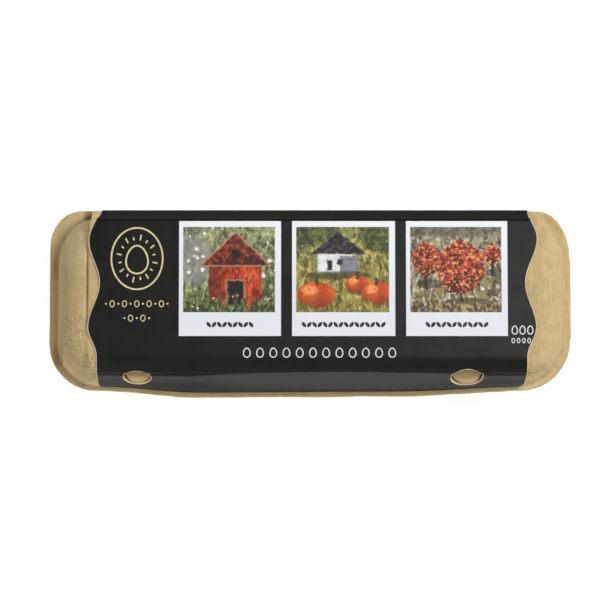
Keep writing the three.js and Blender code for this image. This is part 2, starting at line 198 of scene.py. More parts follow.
# Tray
CUPS_ALONG = 6
CUPS_ACROSS = 2
CUP_PITCH = 48.3
CUP_TOP = 23.4
CUP_BOTTOM = 13.2
CUP_FOOT = 11.2
CUP_HEIGHT = 36
CUP_SQUARENESS = 3
FOOT_ROUND = 2.6
RIM_UNDER = 37.4
RIM_WALL_Z = 31
WEB_HALF = 15
WEB_Z = 17
POST_FOOT, POST_TIP, POST_TIP_Z = 7, 4.5, 37
FOOT_DISH = {"depth": 0.9, "flat": 4.2, "edge": 6.2}

# Printed cards on the label: left edge, width, lower edge and height
CARDS = {"left": (-74.7, 58), "middle": (-10.4, 58.6), "right": (54.4, 57.7)}
CARD_LOW, CARD_HEIGHT = -21.8, 65.8
PICTURE_INSET = {"left": 2.4, "right": 3.5, "top": 3.4, "low": 13.6}
# The emblem's rays, by how far from its middle they start and end
RAY_START, RAY_SHORT, RAY_LONG = 9.0, 10.6, 11.8
# Softness of a printed shape's edge, as a share of its picture
PRINT_EDGE = 0.012
# How far the print stands over the label and reaches into it
PRINT_LIFT, PRINT_DEPTH = 0.05, 0.1


# Shapes shared by the pieces


def level(plan, z):
    """A plan of (x, y) points at height z."""
    return np.column_stack([plan, np.full(len(plan), z)])


def station(section, x):
    """A section of (y, z) points at a place along the carton."""
    return np.column_stack([np.full(len(section), x), section])


def circle(count):
    """The cosines and sines of a full turn in this many steps."""
    angle = np.linspace(0, 2 * math.pi, count, endpoint=False)
    return np.cos(angle), np.sin(angle)


def smooth(value, low, high):
    """0 below low, 1 above high and an even curve between."""
    t = np.clip((np.asarray(value, float) - low) / (high - low), 0, 1)
    return t * t * (3 - 2 * t)


def bulge(x):
    """How far the front edge bows out at this place along the carton."""
    slack = 1 - BULGE_SLACK * smooth(x, *BULGE_SLACKENS)
    return FRONT_BULGE * slack * smooth(x, *BULGE_LEFT) * (1 - smooth(x, *BULGE_RIGHT))


def bulge_share(z):
    """The share of that bow at this height: all of it at the flange, none at the crease."""
    return float(np.clip((FRONT_CREASE["z"] - z) / (FRONT_CREASE["z"] - FLANGE_TOP), 0, 1))


def dome_inset(z, run, low, high):
    """How far an elliptic dome has leaned in at height z, of its whole run from low to high."""
    rise = float(np.clip((z - low) / (high - low), 0, 1))
    return run * (1 - math.sqrt(1 - rise * rise))


def front_inset(z):
    """How far the lid's front wall stands in from the outline at height z, without the bow."""
    crease = FRONT_CREASE["z"]
    if z > crease:
        return FRONT_CREASE["inset"] + dome_inset(z, FRONT_SHOULDER_RUN, crease, LID_TOP)
    low, high = FRONT_LEAN["low"], FRONT_LEAN["high"]
    bend = FRONT_BEND_ROUND * math.log1p(math.exp((z - FRONT_BEND_Z) / FRONT_BEND_ROUND))
    return FRONT_FLANGE + low * (z - FLANGE_TOP) + (high - low) * bend


def front_wall_y(x, z):
    """Where the lid's front wall is at this place along the carton and this height."""
    return FRONT_Y + front_inset(z) - bulge(x) * bulge_share(z)


def plan_ring(z, end, front, back, share=1.0, corners=CORNERS):
    """A closed ring of the carton's plan at height z, anticlockwise, set in this far from the outline."""
    left, right = end - LENGTH / 2, LENGTH / 2 - end
    low, high = FRONT_Y + front, BACK_Y - back
    names = ("front_left", "front_right", "back_left", "back_right")
    fl, fr, bl, br = (np.maximum(np.array(corners[name]) - CORNER_SHARPENS * end, 8) for name in names)

    def corner(x, y, size, start):
        angle = start + np.linspace(0, math.pi / 2, 25)
        return np.column_stack([x + size[0] * np.cos(angle), y + size[1] * np.sin(angle)])

    along = np.linspace(left + fl[0], right - fr[0], 142)[1:-1]
    plan = np.vstack([
        corner(left + fl[0], low + fl[1], fl, math.pi),
        np.column_stack([along, low - share * bulge(along)]),
        corner(right - fr[0], low + fr[1], fr, -math.pi / 2),
        corner(right - br[0], high - br[1], br, 0),
        corner(left + bl[0], high - bl[1], bl, math.pi / 2),
    ])
    return level(plan, z)


def panel_profile():
    """The raised panel's outside in (y, z), from the hinge up, over the top and down to the crease."""
    y, top = PANEL_BACK_TOP[0], PANEL_TOP
    t = np.linspace(0, 1, 9)[:, None]
    start = np.array(PANEL_BACK_TOP)
    pull = np.array([y - 0.18 * PANEL_BACK_ROUND, top])
    end = np.array([y - PANEL_BACK_ROUND, top])
    back = np.vstack([[PANEL_BACK_BEND], (1 - t) ** 2 * start + 2 * t * (1 - t) * pull + t**2 * end])
    crease_y, crease_z = FRONT_Y + FRONT_CREASE["inset"], FRONT_CREASE["z"]
    angle = np.linspace(math.pi / 2, math.pi, 12)
    shoulder_y = crease_y + PANEL_FRONT_RUN * (1 + np.cos(angle))
    front = np.column_stack([shoulder_y, crease_z + (top - crease_z) * np.sin(angle)])
    return np.vstack([[PANEL_BACK], back, front])


def eye_outline(width, height, count=28, blunt=(0.0, 0.0)):
    """An eye shape round the origin, anticlockwise: two arcs that meet at each side, sharp or blunt."""
    w, h = width / 2, height / 2
    radius = (w * w + h * h) / (2 * h)
    angle = np.linspace(-math.asin(w / radius), math.asin(w / radius), count, endpoint=False)
    upper = np.column_stack([-radius * np.sin(angle), h - radius + radius * np.cos(angle)])
    outline = np.vstack([upper, -upper])
    share = np.interp(outline[:, 0], (-w, w), blunt)
    oval_y = np.sign(outline[:, 1]) * h * np.sqrt(np.clip(1 - (outline[:, 0] / w) ** 2, 0, 1))
    outline[:, 1] += share * (oval_y - outline[:, 1])
    return outline


def on_front_wall(points, side):
    """Places points given across, up and out of the leaning front wall at the left or right lock hole."""
    x, _, _, turn = LOCKS[side]
    cosine, sine = math.cos(math.radians(turn)), math.sin(math.radians(turn))
    across = points[:, 0] * cosine - points[:, 1] * sine
    rise = points[:, 0] * sine + points[:, 1] * cosine
    lean = math.atan(FRONT_LEAN["high"])
    out = np.array([0, -math.cos(lean), math.sin(lean)])
    up = np.array([0, math.sin(lean), math.cos(lean)])
    origin = np.array([x, front_wall_y(x, LOCK_Z), LOCK_Z])
    return origin + across[:, None] * [1, 0, 0] + rise[:, None] * up + points[:, 2:3] * out


# Mesh making


def band(rings, count, looped=False, closed=True):
    """Faces between rings of count points: looped if the last ring meets the first, closed if each is."""
    faces = []
    for k in range(rings if looped else rings - 1):
        here, there = k * count, (k + 1) % rings * count
        for i in range(count if closed else count - 1):
            j = (i + 1) % count
            faces.append((here + i, here + j, there + j, there + i))
    return faces


def loft(rings):
    """Points and faces of a skin through stacked rings of equal length, anticlockwise seen from the last."""
    count = len(rings[0])
    last = (len(rings) - 1) * count
    caps = [tuple(range(count))[::-1], tuple(range(last, last + count))]
    return np.vstack(rings), band(len(rings), count) + caps


def sheet(top, under):
    """Points and faces of a thin closed sheet between two grids of points."""
    rows, columns = top.shape[:2]
    count = rows * columns
    upper = np.arange(count).reshape(rows, columns)
    corners = [upper[:-1, :-1], upper[:-1, 1:], upper[1:, 1:], upper[1:, :-1]]
    edge = np.concatenate([upper[0, :-1], upper[:-1, -1], upper[-1, :0:-1], upper[:0:-1, 0]])
    after = np.roll(edge, -1)
    quads = [
        np.stack(corners, -1).reshape(-1, 4),
        np.stack([corners[i] + count for i in (0, 3, 2, 1)], -1).reshape(-1, 4),
        np.stack([edge, edge + count, after + count, after], -1),
    ]
    return np.vstack([top.reshape(-1, 3), under.reshape(-1, 3)]), np.vstack(quads).tolist()


def joined(parts):
    """Several (points, faces) as one."""
    points, faces, start = [], [], 0
    for part_points, part_faces in parts:
        points.append(part_points)
        faces += [tuple(i + start for i in face) for face in part_faces]
        start += len(part_points)
    return np.vstack(points), faces


def make_mesh(name, shape, *materials):
    """A new object from points in millimetres and faces."""
    points, faces = shape
    mesh = bpy.data.meshes.new(name)
    mesh.from_pydata((np.asarray(points) * MM).tolist(), [], faces)
    for material in materials:
        mesh.materials.append(material)
    piece = bpy.data.objects.new(name, mesh)
    bpy.context.scene.collection.objects.link(piece)
    return piece


def change(piece, kind, **settings):
    """Puts the piece's mesh through one modifier."""
    modifier = piece.modifiers.new(kind.lower(), kind)
    for name, value in settings.items():
        setattr(modifier, name, value)
    seen = piece.evaluated_get(bpy.context.evaluated_depsgraph_get())
    made = bpy.data.meshes.new_from_object(seen)
    old = piece.data
    piece.modifiers.clear()
    piece.data = made
    bpy.data.meshes.remove(old)


def fuse(piece, voxel):
    """Makes one skin of the piece's overlapping shells."""
    change(piece, "REMESH", mode="VOXEL", voxel_size=voxel)


def soften(piece, passes, share=None):
    """Softens the piece's edges, as pressed pulp has them, everywhere or by each point's share."""
    settings = {"factor": 0.5, "iterations": passes}
    if share is not None:
        group = piece.vertex_groups.new(name="softer")
        for index in np.flatnonzero(share > 0.01):
            group.add([int(index)], float(share[index]), "REPLACE")
        settings["vertex_group"] = group.name
    change(piece, "SMOOTH", **settings)
    piece.vertex_groups.clear()


def cut(piece, cutter):
    """Cuts the cutter's shape out of the piece, and removes the cutter."""
    change(piece, "BOOLEAN", operation="DIFFERENCE", solver="EXACT", object=cutter)
    bpy.data.objects.remove(cutter)


def rows_of(things, name):
    """A vector of each of these things, as rows."""
    values = np.empty(3 * len(things))
    things.foreach_get(name, values)
    return values.reshape(-1, 3)


def points_of(mesh):
    """The mesh's points in millimetres."""
    return rows_of(mesh.vertices, "co") / MM


def set_points(mesh, points):
    """Moves the mesh's points, given in millimetres."""
    mesh.vertices.foreach_set("co", (points * MM).ravel())
    mesh.update()


def push(mesh, points, distance):
    """Moves the mesh's points outwards by these distances."""
    set_points(mesh, points + distance[:, None] * rows_of(mesh.vertex_normals, "vector"))


def uneven(points, size, seed):
    """Even random relief from about -1 to 1 at these points, in lumps of this size."""
    shift = Vector((seed * 17.3, seed * 5.1, seed * 29.7))
    return np.array([noise.noise(Vector(p) / size + shift) for p in points])


def roughen(piece, lumps):
    """Moves the piece's points in and out by lumps of (size, height) in millimetres."""
    points = points_of(piece.data)
    relief = sum(height * uneven(points, size, seed) for seed, (size, height) in enumerate(lumps))
    push(piece.data, points, relief)


def finish_piece(piece, slot, *nodes):
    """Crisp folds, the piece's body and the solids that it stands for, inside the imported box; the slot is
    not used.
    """
    low, high = (np.array(corner) / MM for corner in CAD_BOX)
    set_points(piece.data, np.clip(points_of(piece.data), low, high))
    piece.data.shade_smooth()
    piece.data.set_sharp_from_angle(angle=math.radians(38))
    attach(piece, "root")
    if nodes:
        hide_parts(*nodes)


# Shader maths


def operator(operation, swapped=False):
    """A method of Wire that adds a Math node, with its terms swapped for a reflected form."""
    if swapped:
        return lambda wire, other: wire.math(operation, other, wire)
    return lambda wire, other: wire.math(operation, wire, other)


class Wire:
    """One output in a material's nodes. Python's operators on it add Math nodes."""

    __add__, __radd__ = operator("ADD"), operator("ADD", swapped=True)
    __sub__, __rsub__ = operator("SUBTRACT"), operator("SUBTRACT", swapped=True)
    __mul__, __rmul__ = operator("MULTIPLY"), operator("MULTIPLY", swapped=True)
    __truediv__, __rtruediv__ = operator("DIVIDE"), operator("DIVIDE", swapped=True)
    most = operator("MAXIMUM")

    def __init__(self, nodes, socket):
        self.nodes = nodes
        self.socket = socket

    def math(self, operation, *terms):
        return self.nodes.add("ShaderNodeMath", {"operation": operation}, dict(enumerate(terms)))

    def __abs__(self):
        return self.math("ABSOLUTE", self)

    def sin(self):
        return self.math("SINE", self)

    def above(self, low, high):
        """0 below low, 1 above high and an even curve between; the other way round if low is the larger."""
        ends = (low, high, 0.0, 1.0) if low < high else (high, low, 1.0, 0.0)
        settings = {"interpolation_type": "SMOOTHSTEP"}
        return self.nodes.add("ShaderNodeMapRange", settings, dict(enumerate((self, *ends))))


class Nodes:
    """A new material's nodes."""

    def __init__(self, name):
        self.material = bpy.data.materials.new(name)
        self.material.use_nodes = True
        self.tree = self.material.node_tree
        self.tree.nodes.clear()

    def add(self, kind, settings=None, inputs=None, output=0):
        """A node of this kind, with its settings made first and its inputs set or linked. Gives an output."""
        node = self.tree.nodes.new(kind)
        for name, value in (settings or {}).items():
            setattr(node, name, value)
        for name, value in (inputs or {}).items():
            if isinstance(value, Wire):
                self.tree.links.new(value.socket, node.inputs[name])
            else:
                node.inputs[name].default_value = value
        return Wire(self, node.outputs[output])

    def place(self):
        """Where a point of the surface is, in millimetres."""
        return self.scaled(self.add("ShaderNodeTexCoord", output="Object"), (1 / MM,) * 3)

    def scaled(self, vector, scale):
        return self.add("ShaderNodeVectorMath", {"operation": "MULTIPLY"}, {0: vector, 1: scale})

    def axes(self, vector):
        """The vector's x, y and z."""
        x = self.add("ShaderNodeSeparateXYZ", inputs={0: vector})
        return tuple(Wire(self, x.socket.node.outputs[i]) for i in range(3))

    def point(self, x, y, z=0.0):
        return self.add("ShaderNodeCombineXYZ", inputs={0: x, 1: y, 2: z})

    def cloud(self, vector, size, detail=2.0, roughness=0.5, distortion=0.0):
        """Soft random values round 0.5, in blots of this size."""
        inputs = {"Vector": vector, "Scale": 1 / size, "Detail": detail, "Roughness": roughness}
        return self.add("ShaderNodeTexNoise", inputs={**inputs, "Distortion": distortion})

    def cells(self, vector, size):
        """For scattered dots of this spacing: the distance to the nearest, and its own random value."""
        inputs = {"Vector": vector, "Scale": 1 / size}
        near = self.add("ShaderNodeTexVoronoi", inputs=inputs, output="Distance")
        colour = Wire(self, near.socket.node.outputs["Color"])
        return near, self.axes(colour)[0]

    def mix(self, factor, first, second):
        """The second colour over the first, by factor."""
        inputs = {0: factor, 6: rgba(first), 7: rgba(second)}
        return self.add("ShaderNodeMix", {"data_type": "RGBA"}, inputs, 2)

    def bump(self, height, distance):
        inputs = {"Height": height, "Distance": distance * MM, "Strength": 1.0}
        return self.add("ShaderNodeBump", inputs=inputs)

    def shader(self, colour, **inputs):
        named = {"Base Color": rgba(colour)}
        for name, value in inputs.items():
            named[name.replace("_", " ").title().replace("Ior", "IOR")] = value
        return self.add("ShaderNodeBsdfPrincipled", inputs=named)

    def close(self, shader):
        """Ends the material in this shader, and gives the material."""
        end = self.tree.nodes.new("ShaderNodeOutputMaterial")
        self.tree.links.new(shader.socket, end.inputs["Surface"])
        return self.material

    def surface(self, colour, **inputs):
        """Closes the material with one shader of this colour, and gives the material."""
        return self.close(self.shader(colour, **inputs))


def rgba(colour):
    """A colour input's value: a wire as it is, and three numbers with full alpha."""
    return colour if isinstance(colour, Wire) else (*tuple(colour)[:3], 1.0)


def tone(red, green, blue):
    """A colour given from 0 to 255 as screens show it, as light."""
    shares = (value / 255 for value in (red, green, blue))
    return tuple(c / 12.92 if c <= 0.04045 else ((c + 0.055) / 1.055) ** 2.4 for c in shares)


# Materials


def patches(x, y, *ovals):
    """Soft spots on the carton seen from above, each given as (x, y, half width, half length, strength)."""
    mask = 0.0
    for middle_x, middle_y, wide, high, strength in ovals:
        across, along = (x - middle_x) / wide, (y - middle_y) / high
        spot = (across * across + along * along).above(1.3, 0.3) * strength
        mask = spot if mask == 0.0 else mask.most(spot)
    return mask


def pulp_material(name, settings):
    """Grey-tan pulp: cloudy, mottled and speckled, with fibres, the fine grid of the mould's screen, stains,
    and spots of painted shade and painted light.
    """
    nodes = Nodes(name)
    place = nodes.place()
    x, y, z = nodes.axes(place)
    mottle = nodes.cloud(place, 4.6, 4, 0.62)
    grain = nodes.cloud(place, 0.75, 2, 0.6)
    hair = abs(nodes.cloud(place, 5.2, 3, 0.55, 1.4) - 0.5)
    fibre = hair.above(0.014, 0.002) * nodes.cloud(place, 7).above(0.46, 0.6)
    near, pick = nodes.cells(place, 2.6)
    speck = near.above(0.17, 0.08) * pick.above(0.76, 0.8)
    coarse = patches(x, y, *COARSE_PATCHES) * z.above(LID_UNDER - 1, LID_UNDER)
    crumbs = nodes.cloud(place, 1.15, 3, 0.7)
    streaks = nodes.cloud(nodes.scaled(place, (1, 0.1, 1)), 1.8, 2, 0.6) * x.above(112, 126)
    dark, pale = settings.dark_pulp, settings.pale_pulp
    colour = nodes.mix(nodes.cloud(place, 34, 2).above(0.35, 0.65), settings.olive_pulp, settings.rosy_pulp)
    for mask, shade in (
        (mottle.above(0.7, 0.3) * 0.28, dark),
        (grain.above(0.4, 0.75) * 0.26, pale),
        (fibre * 0.4, pale),
        (speck * 0.55, dark),
        # paler spots, partly painted light
        (patches(x, y, *PALE_AND_PAINTED_LIGHT_PATCHES), pale),
        (coarse * crumbs.above(0.5, 0.38) * 0.6, dark),
        (coarse * crumbs.above(0.54, 0.64) * 0.75, pale),
        # stains and painted shade, darker where the pulp is mottled
        (patches(x, y, *STAINS_AND_PAINTED_SHADE) * (0.5 + mottle), settings.stain_and_shade),
        (streaks.above(0.5, 0.72) * 0.3, pale),
    ):
        colour = nodes.mix(mask, colour, shade)
    pitch = nodes.axes(nodes.scaled(place, (2 * math.pi / settings.screen_pitch,) * 3))
    screen = (pitch[0].sin() + pitch[1].sin() + pitch[2].sin()) * nodes.cloud(place, 14).above(0.42, 0.62)
    height = mottle * 0.75 + grain * 0.5 + fibre * 0.12 + screen * 0.035
    height = height + coarse * crumbs * 1.1 + streaks * 0.25
    relief = nodes.bump(height, settings.bump)
    return nodes.surface(colour, roughness=0.8 + mottle * 0.2, specular_ior_level=0.25, normal=relief)


def label_material(settings):
    """Black satin print on paper that follows the pulp under it, rubbed dull along its folds, with a painted
    sheen of paler ink down the front wall under the front fold.
    """
    nodes = Nodes("black label")
    place = nodes.place()
    lumps = nodes.cloud(place, 9, 2, 0.5)
    paper = nodes.cloud(place, 0.9, 2, 0.5)
    x, y, z = nodes.axes(place)
    middle = (x - FOLD_MIDDLE) / FOLD_HALF
    arch = (settings.fold_rise - middle * middle * FOLD_ARCH).most(FOLD_LEAST)
    below = z - FRONT_CREASE["z"] - arch
    front = y.above(-20, -30)
    # painted sheen: paler ink down the front wall under the fold, in place of the highlight there
    painted_sheen = below.above(0.6, -1.8) * (z + arch * 1.2).above(*FRONT_SHEEN_Z) * front
    shoulder = below.above(-1.4, 0.2) * z.above(67, 65)
    # random paling of the ink, plus the painted sheen down the front
    rubbed = nodes.cloud(place, 26, 2) * 0.12 + painted_sheen * settings.front_painted_sheen
    back, far_back = (y.above(low, high) * strength for low, high, strength in BACK_RUBS)
    rubbed_front = (z.above(*FRONT_DULL_Z) * settings.front_dull).most(shoulder * 0.55) * front
    dull = back.most(far_back).most(rubbed_front)
    colour = nodes.mix(rubbed, settings.ink_dark, settings.ink_pale_and_sheen)
    rough = settings.gloss_roughness + lumps * 0.08 + paper * 0.04
    normal = nodes.bump(lumps * 0.8 + paper * 0.05, settings.bump)
    satin = nodes.shader(colour, roughness=rough, specular_ior_level=0.2, normal=normal)
    matte = nodes.shader(colour, roughness=0.95, specular_ior_level=0.0, normal=normal)
    return nodes.close(nodes.add("ShaderNodeMixShader", inputs={0: dull, 1: satin, 2: matte}))


def edge_material(settings):
    """The label's bare cut paper."""
    nodes = Nodes("cut paper edge")
    colour = nodes.mix(nodes.cloud(nodes.place(), 0.6, 2), settings.edge_pale, settings.edge_dark)
    return nodes.surface(colour, roughness=0.85)


def print_material(name, colour, shade, roughness):
    """A flat printed colour, a little uneven."""
    nodes = Nodes(name)
    blend = nodes.cloud(nodes.place(), 1.4, 3, 0.6)
    return nodes.surface(nodes.mix(blend.above(0.35, 0.7), colour, shade), roughness=roughness)


class Picture:
    """A printed picture, painted in layers: u runs from 0 to 1 to its right and v from 0 to 1 up it."""

    def __init__(self, nodes, left, low, width, height):
        self.nodes = nodes
        x, y, _ = nodes.axes(nodes.place())
        self.raw_u, self.raw_v = (x - left) / width, (y - low) / height
        flat = nodes.point(self.raw_u, self.raw_v)
        self.u = self.raw_u + (nodes.cloud(flat, 0.05, 3, 0.6) - 0.5) * 0.05
        self.v = self.raw_v + (nodes.cloud(flat, 0.06, 3, 0.6, 0.6) - 0.5) * 0.05
        self.seed = 0
        self.colour = None

    def paint(self, mask, colour):
        """Lays a colour over the picture by this mask."""
        self.colour = self.nodes.mix(mask, self.colour, colour)

    def blots(self, size, stretch=1.0):
        """Random values in blots, taller than wide by stretch, and new ones each time."""
        self.seed += 1
        return self.nodes.cloud(self.nodes.point(self.u, self.v / stretch, 3.7 * self.seed), size, 4.0, 0.65)

    def oval(self, u, v, wide, high, soft=0.08, ragged=0.0):
        """1 inside an oval and 0 outside it, with an even edge or a ragged one."""
        across, up = (self.u - u) / wide, (self.v - v) / high
        reach = across * across + up * up
        if ragged:
            reach = reach + (self.blots(0.07) - 0.5) * ragged
        return reach.above(1 + soft, 1 - soft)

    def block(self, u, v, wide, high):
        """1 inside an upright rectangle with this middle and these half sizes."""
        return (abs(self.u - u) - wide).most(abs(self.v - v) - high).above(PRINT_EDGE, -PRINT_EDGE)

    def gable(self, u, peak, slope, low):
        """1 under a roof with its peak at (u, peak), down to low."""
        under = abs(self.u - u) * slope + self.v - peak
        return under.most(low - self.v).above(PRINT_EDGE, -PRINT_EDGE)

    def flowers(self, spacing, size, share):
        """Round blooms, in about this share of their places."""
        near, pick = self.nodes.cells(self.nodes.point(self.u, self.v), spacing)
        return near.above(size + 0.1, size - 0.05) * pick.above(1 - share, 1 - share + 0.04)

    def spots(self, colour, size, share, strength, over, stretch=1.0):
        """Lays blots of a colour over another, on about this share of it."""
        edge = 0.5 + 0.24 * (0.5 - share)
        mask = self.blots(size, stretch).above(edge - 0.04, edge + 0.06)
        return self.nodes.mix(mask * strength, over, colour)

    def meadow(self, far, near, dark, light):
        """Grass in tufts with shade between them, paler in the distance."""
        self.colour = self.nodes.mix(self.v.above(0.1, 0.9), near, far)
        for colour, size, share, strength, stretch in (
            (dark, 0.26, 0.45, 0.6, 1.0),
            (dark, 0.06, 0.4, 0.85, 1.9),
            (light, 0.045, 0.34, 0.8, 2.0),
            (near, 0.03, 0.3, 0.7, 1.4),
        ):
            self.colour = self.spots(colour, size, share, strength, self.colour, stretch)

    def foreground(self, top, full, tufts, edge, blades):
        """Tufts of grass at the foot of the picture, up to v = top and thickest below full."""
        size, stretch, gain = tufts
        clumps = (self.blots(size, stretch) + self.v.above(top, 0.0) * gain).above(*edge)
        light, dark, share, slant = blades
        self.paint(clumps * self.v.above(top, full), self.spots(light, 0.035, share, 0.8, dark, slant))


def barn_picture(art):
    """A rust-red barn in a daisy meadow."""
    mix = art.nodes.mix
    art.meadow(tone(146, 150, 112), tone(112, 122, 66), tone(52, 62, 40), tone(196, 196, 150))
    art.paint(art.oval(0.12, 0.62, 0.2, 0.3, 0.5, 0.6) * 0.6, tone(150, 146, 148))
    art.paint(art.flowers(0.08, 0.26, 0.5) * art.v.above(0.2, 0.5), tone(236, 234, 230))
    walls = art.block(0.57, 0.3, 0.29, 0.27)
    planks = mix((art.u * 190).sin().above(-0.2, 0.9) * 0.5, tone(200, 70, 34), tone(120, 34, 20))
    planks = art.spots(tone(232, 120, 70), 0.05, 0.32, 0.7, planks, 2.5)
    planks = art.spots(tone(86, 24, 20), 0.09, 0.4, 0.75, planks, 1.6)
    art.paint(walls, mix(art.u.above(0.56, 0.3) * 0.7, planks, tone(60, 20, 22)))
    roof = art.spots(tone(164, 76, 52), 0.05, 0.45, 0.8, tone(92, 36, 30))
    roof = art.spots(tone(48, 24, 26), 0.12, 0.4, 0.8, roof)
    art.paint(art.gable(0.57, 0.95, 1.02, 0.535), tone(176, 132, 104))
    art.paint(art.gable(0.57, 0.925, 1.02, 0.55), roof)
    art.paint(art.block(0.57, 0.21, 0.1, 0.17), tone(168, 128, 104))
    art.paint(art.block(0.57, 0.2, 0.088, 0.165), tone(36, 20, 22))
    art.paint(art.oval(0.57, 0.68, 0.05, 0.06), tone(40, 24, 26))
    blades = (tone(128, 138, 84), tone(58, 66, 38), 0.4, 2.2)
    art.foreground(0.3, 0.2, (0.05, 3, 0.3), (0.62, 0.72), blades)
    art.paint(art.flowers(0.055, 0.2, 0.22) * art.v.above(0.3, 0.1), tone(240, 222, 206))


def pumpkin(art, u, v, wide, high):
    """An orange pumpkin with ribs, lit from the upper left and shaded at its foot, and a short stem."""
    mix = art.nodes.mix
    ribs = ((art.u - u) * (4.8 / wide)).sin() * 0.5 + 0.5
    skin = mix(ribs * 0.6, tone(226, 104, 36), tone(150, 44, 20))
    skin = mix(art.v.above(v + 0.4 * high, v - high) * 0.75, skin, tone(92, 28, 20))
    shine = art.oval(u - 0.35 * wide, v + 0.35 * high, 0.4 * wide, 0.35 * high, 0.7)
    skin = mix(shine * 0.7, skin, tone(250, 176, 108))
    skin = art.spots(tone(186, 60, 28), 0.04, 0.4, 0.5, skin)
    art.paint(art.oval(u + 0.02, v - 0.5 * high, wide * 1.15, high * 0.7, 0.4) * 0.7, tone(48, 44, 26))
    art.paint(art.oval(u, v, wide, high), skin)
    art.paint(art.oval(u, v + high * 0.98, 0.022, 0.05), tone(70, 72, 38))


def farm_picture(art):
    """A white cottage with a dark roof, and pumpkins in the field before it."""
    art.meadow(tone(128, 136, 84), tone(156, 140, 66), tone(76, 72, 34), tone(206, 192, 118))
    art.paint(art.flowers(0.07, 0.2, 0.3) * art.v.above(0.5, 0.7), tone(228, 226, 216))
    trees = art.oval(0.1, 0.98, 0.34, 0.22, 0.3, 0.8).most(art.oval(0.92, 0.9, 0.24, 0.2, 0.3, 0.8))
    art.paint(trees * 0.85, art.spots(tone(112, 116, 62), 0.06, 0.45, 0.8, tone(46, 52, 32)))
    walls = art.spots(tone(196, 194, 196), 0.08, 0.4, 0.6, tone(232, 230, 228))
    art.paint(art.block(0.42, 0.58, 0.19, 0.12), walls)
    shaded = art.spots(tone(98, 98, 110), 0.05, 0.45, 0.7, tone(136, 136, 144))
    art.paint(art.block(0.57, 0.56, 0.1, 0.1), shaded)
    roof = art.spots(tone(84, 78, 80), 0.05, 0.45, 0.8, tone(32, 30, 34))
    art.paint(art.gable(0.45, 0.94, 0.85, 0.68), roof)
    art.paint(art.block(0.36, 0.55, 0.028, 0.06), tone(36, 32, 36))
    art.paint(art.block(0.47, 0.59, 0.028, 0.035), tone(44, 42, 50))
    art.paint(art.oval(0.45, 0.43, 0.36, 0.05, 0.5, 0.8) * 0.8, tone(58, 58, 30))
    for place in ((0.66, 0.33, 0.13, 0.1), (0.87, 0.22, 0.17, 0.14), (0.22, 0.2, 0.21, 0.16)):
        pumpkin(art, *place)
    blades = (tone(178, 166, 88), tone(104, 98, 44), 0.4, 2.2)
    art.foreground(0.2, 0.12, (0.045, 3, 0.25), (0.6, 0.7), blades)


def tree(art, u, v, wide, high):
    """A round autumn tree: a dark trunk and its shadow under a rust-red crown, lit from the upper left."""
    art.paint(art.oval(u + 0.3 * wide, v - high - 0.1, wide * 1.1, 0.05, 0.4, 0.6) * 0.75, tone(56, 48, 38))
    art.paint(art.block(u, v - high, 0.016, 0.13), tone(50, 34, 30))
    leaves = art.spots(tone(206, 84, 44), 0.06, 0.5, 0.85, tone(136, 40, 28))
    leaves = art.spots(tone(58, 20, 20), 0.08, 0.42, 0.85, leaves)
    leaves = art.nodes.mix(art.v.above(v + 0.3 * high, v - high) * 0.8, leaves, tone(60, 22, 24))
    leaves = art.spots(tone(248, 164, 112), 0.035, 0.3, 0.85, leaves)
    art.paint(art.oval(u, v, wide, high, 0.12, 1.3), leaves)


def orchard_picture(art):
    """A few rust-red trees at the edge of a dry meadow."""
    art.meadow(tone(160, 152, 124), tone(140, 128, 80), tone(60, 56, 38), tone(218, 210, 188))
    far = art.spots(tone(130, 122, 104), 0.08, 0.5, 0.8, tone(72, 68, 58))
    art.paint(art.v.above(0.84, 0.92) * 0.8, far)
    art.paint(art.flowers(0.08, 0.22, 0.4) * art.v.above(0.5, 0.3), tone(232, 226, 216))
    for place in ((0.9, 0.68, 0.09, 0.12), (0.17, 0.62, 0.15, 0.19), (0.56, 0.53, 0.27, 0.31)):
        tree(art, *place)
    blades = (tone(186, 168, 124), tone(84, 66, 42), 0.42, 1.8)
    art.foreground(0.24, 0.14, (0.05, 2, 0.25), (0.58, 0.7), blades)


PICTURES = {"left": barn_picture, "middle": farm_picture, "right": orchard_picture}


def card_material(side, settings):
    """A white printed card with its picture in the upper part."""
    nodes = Nodes(f"{side} card")
    left, width = CARDS[side]
    wide = width - PICTURE_INSET["left"] - PICTURE_INSET["right"]
    high = CARD_HEIGHT - PICTURE_INSET["low"] - PICTURE_INSET["top"]
    art = Picture(nodes, left + PICTURE_INSET["left"], CARD_LOW + PICTURE_INSET["low"], wide, high)
    inside = abs(art.raw_u - 0.5).most(abs(art.raw_v - 0.5)).above(0.504, 0.498)
    # painted light: the card's white made paler towards the back
    white = nodes.mix(art.raw_v.above(0.1, 1), settings.card_white, settings.card_painted_light)
    PICTURES[side](art)
    colour = nodes.mix(inside, white, art.colour)
    return nodes.surface(colour, roughness=0.5, specular_ior_level=0.3, coat_weight=0.05, coat_roughness=0.25)


# Label surface, on which the print lies


def label_wave(x, y):
    """How the label rises and dips over the pulp, in millimetres."""
    return 0.07 * np.sin(x / 13.0 + 0.6) * np.cos(y / 11.0) + 0.05 * np.sin(x / 29.0 + y / 17.0)


def on_label(plan, lift):
    """Points on the label, given from above, this far over it."""
    plan = np.asarray(plan, float)
    across, height = offset(panel_profile()[:, None], LABEL_LIFT)[::-1, 0].T
    over = np.interp(plan[:, 1], across, height) + label_wave(plan[:, 0], plan[:, 1])
    return np.column_stack([plan, over + lift])


def inlay(outline, lift=PRINT_LIFT):
    """A flat printed shape: a filled outline that follows the label's top."""
    return loft([on_label(outline, lift - PRINT_DEPTH), on_label(outline, lift)])


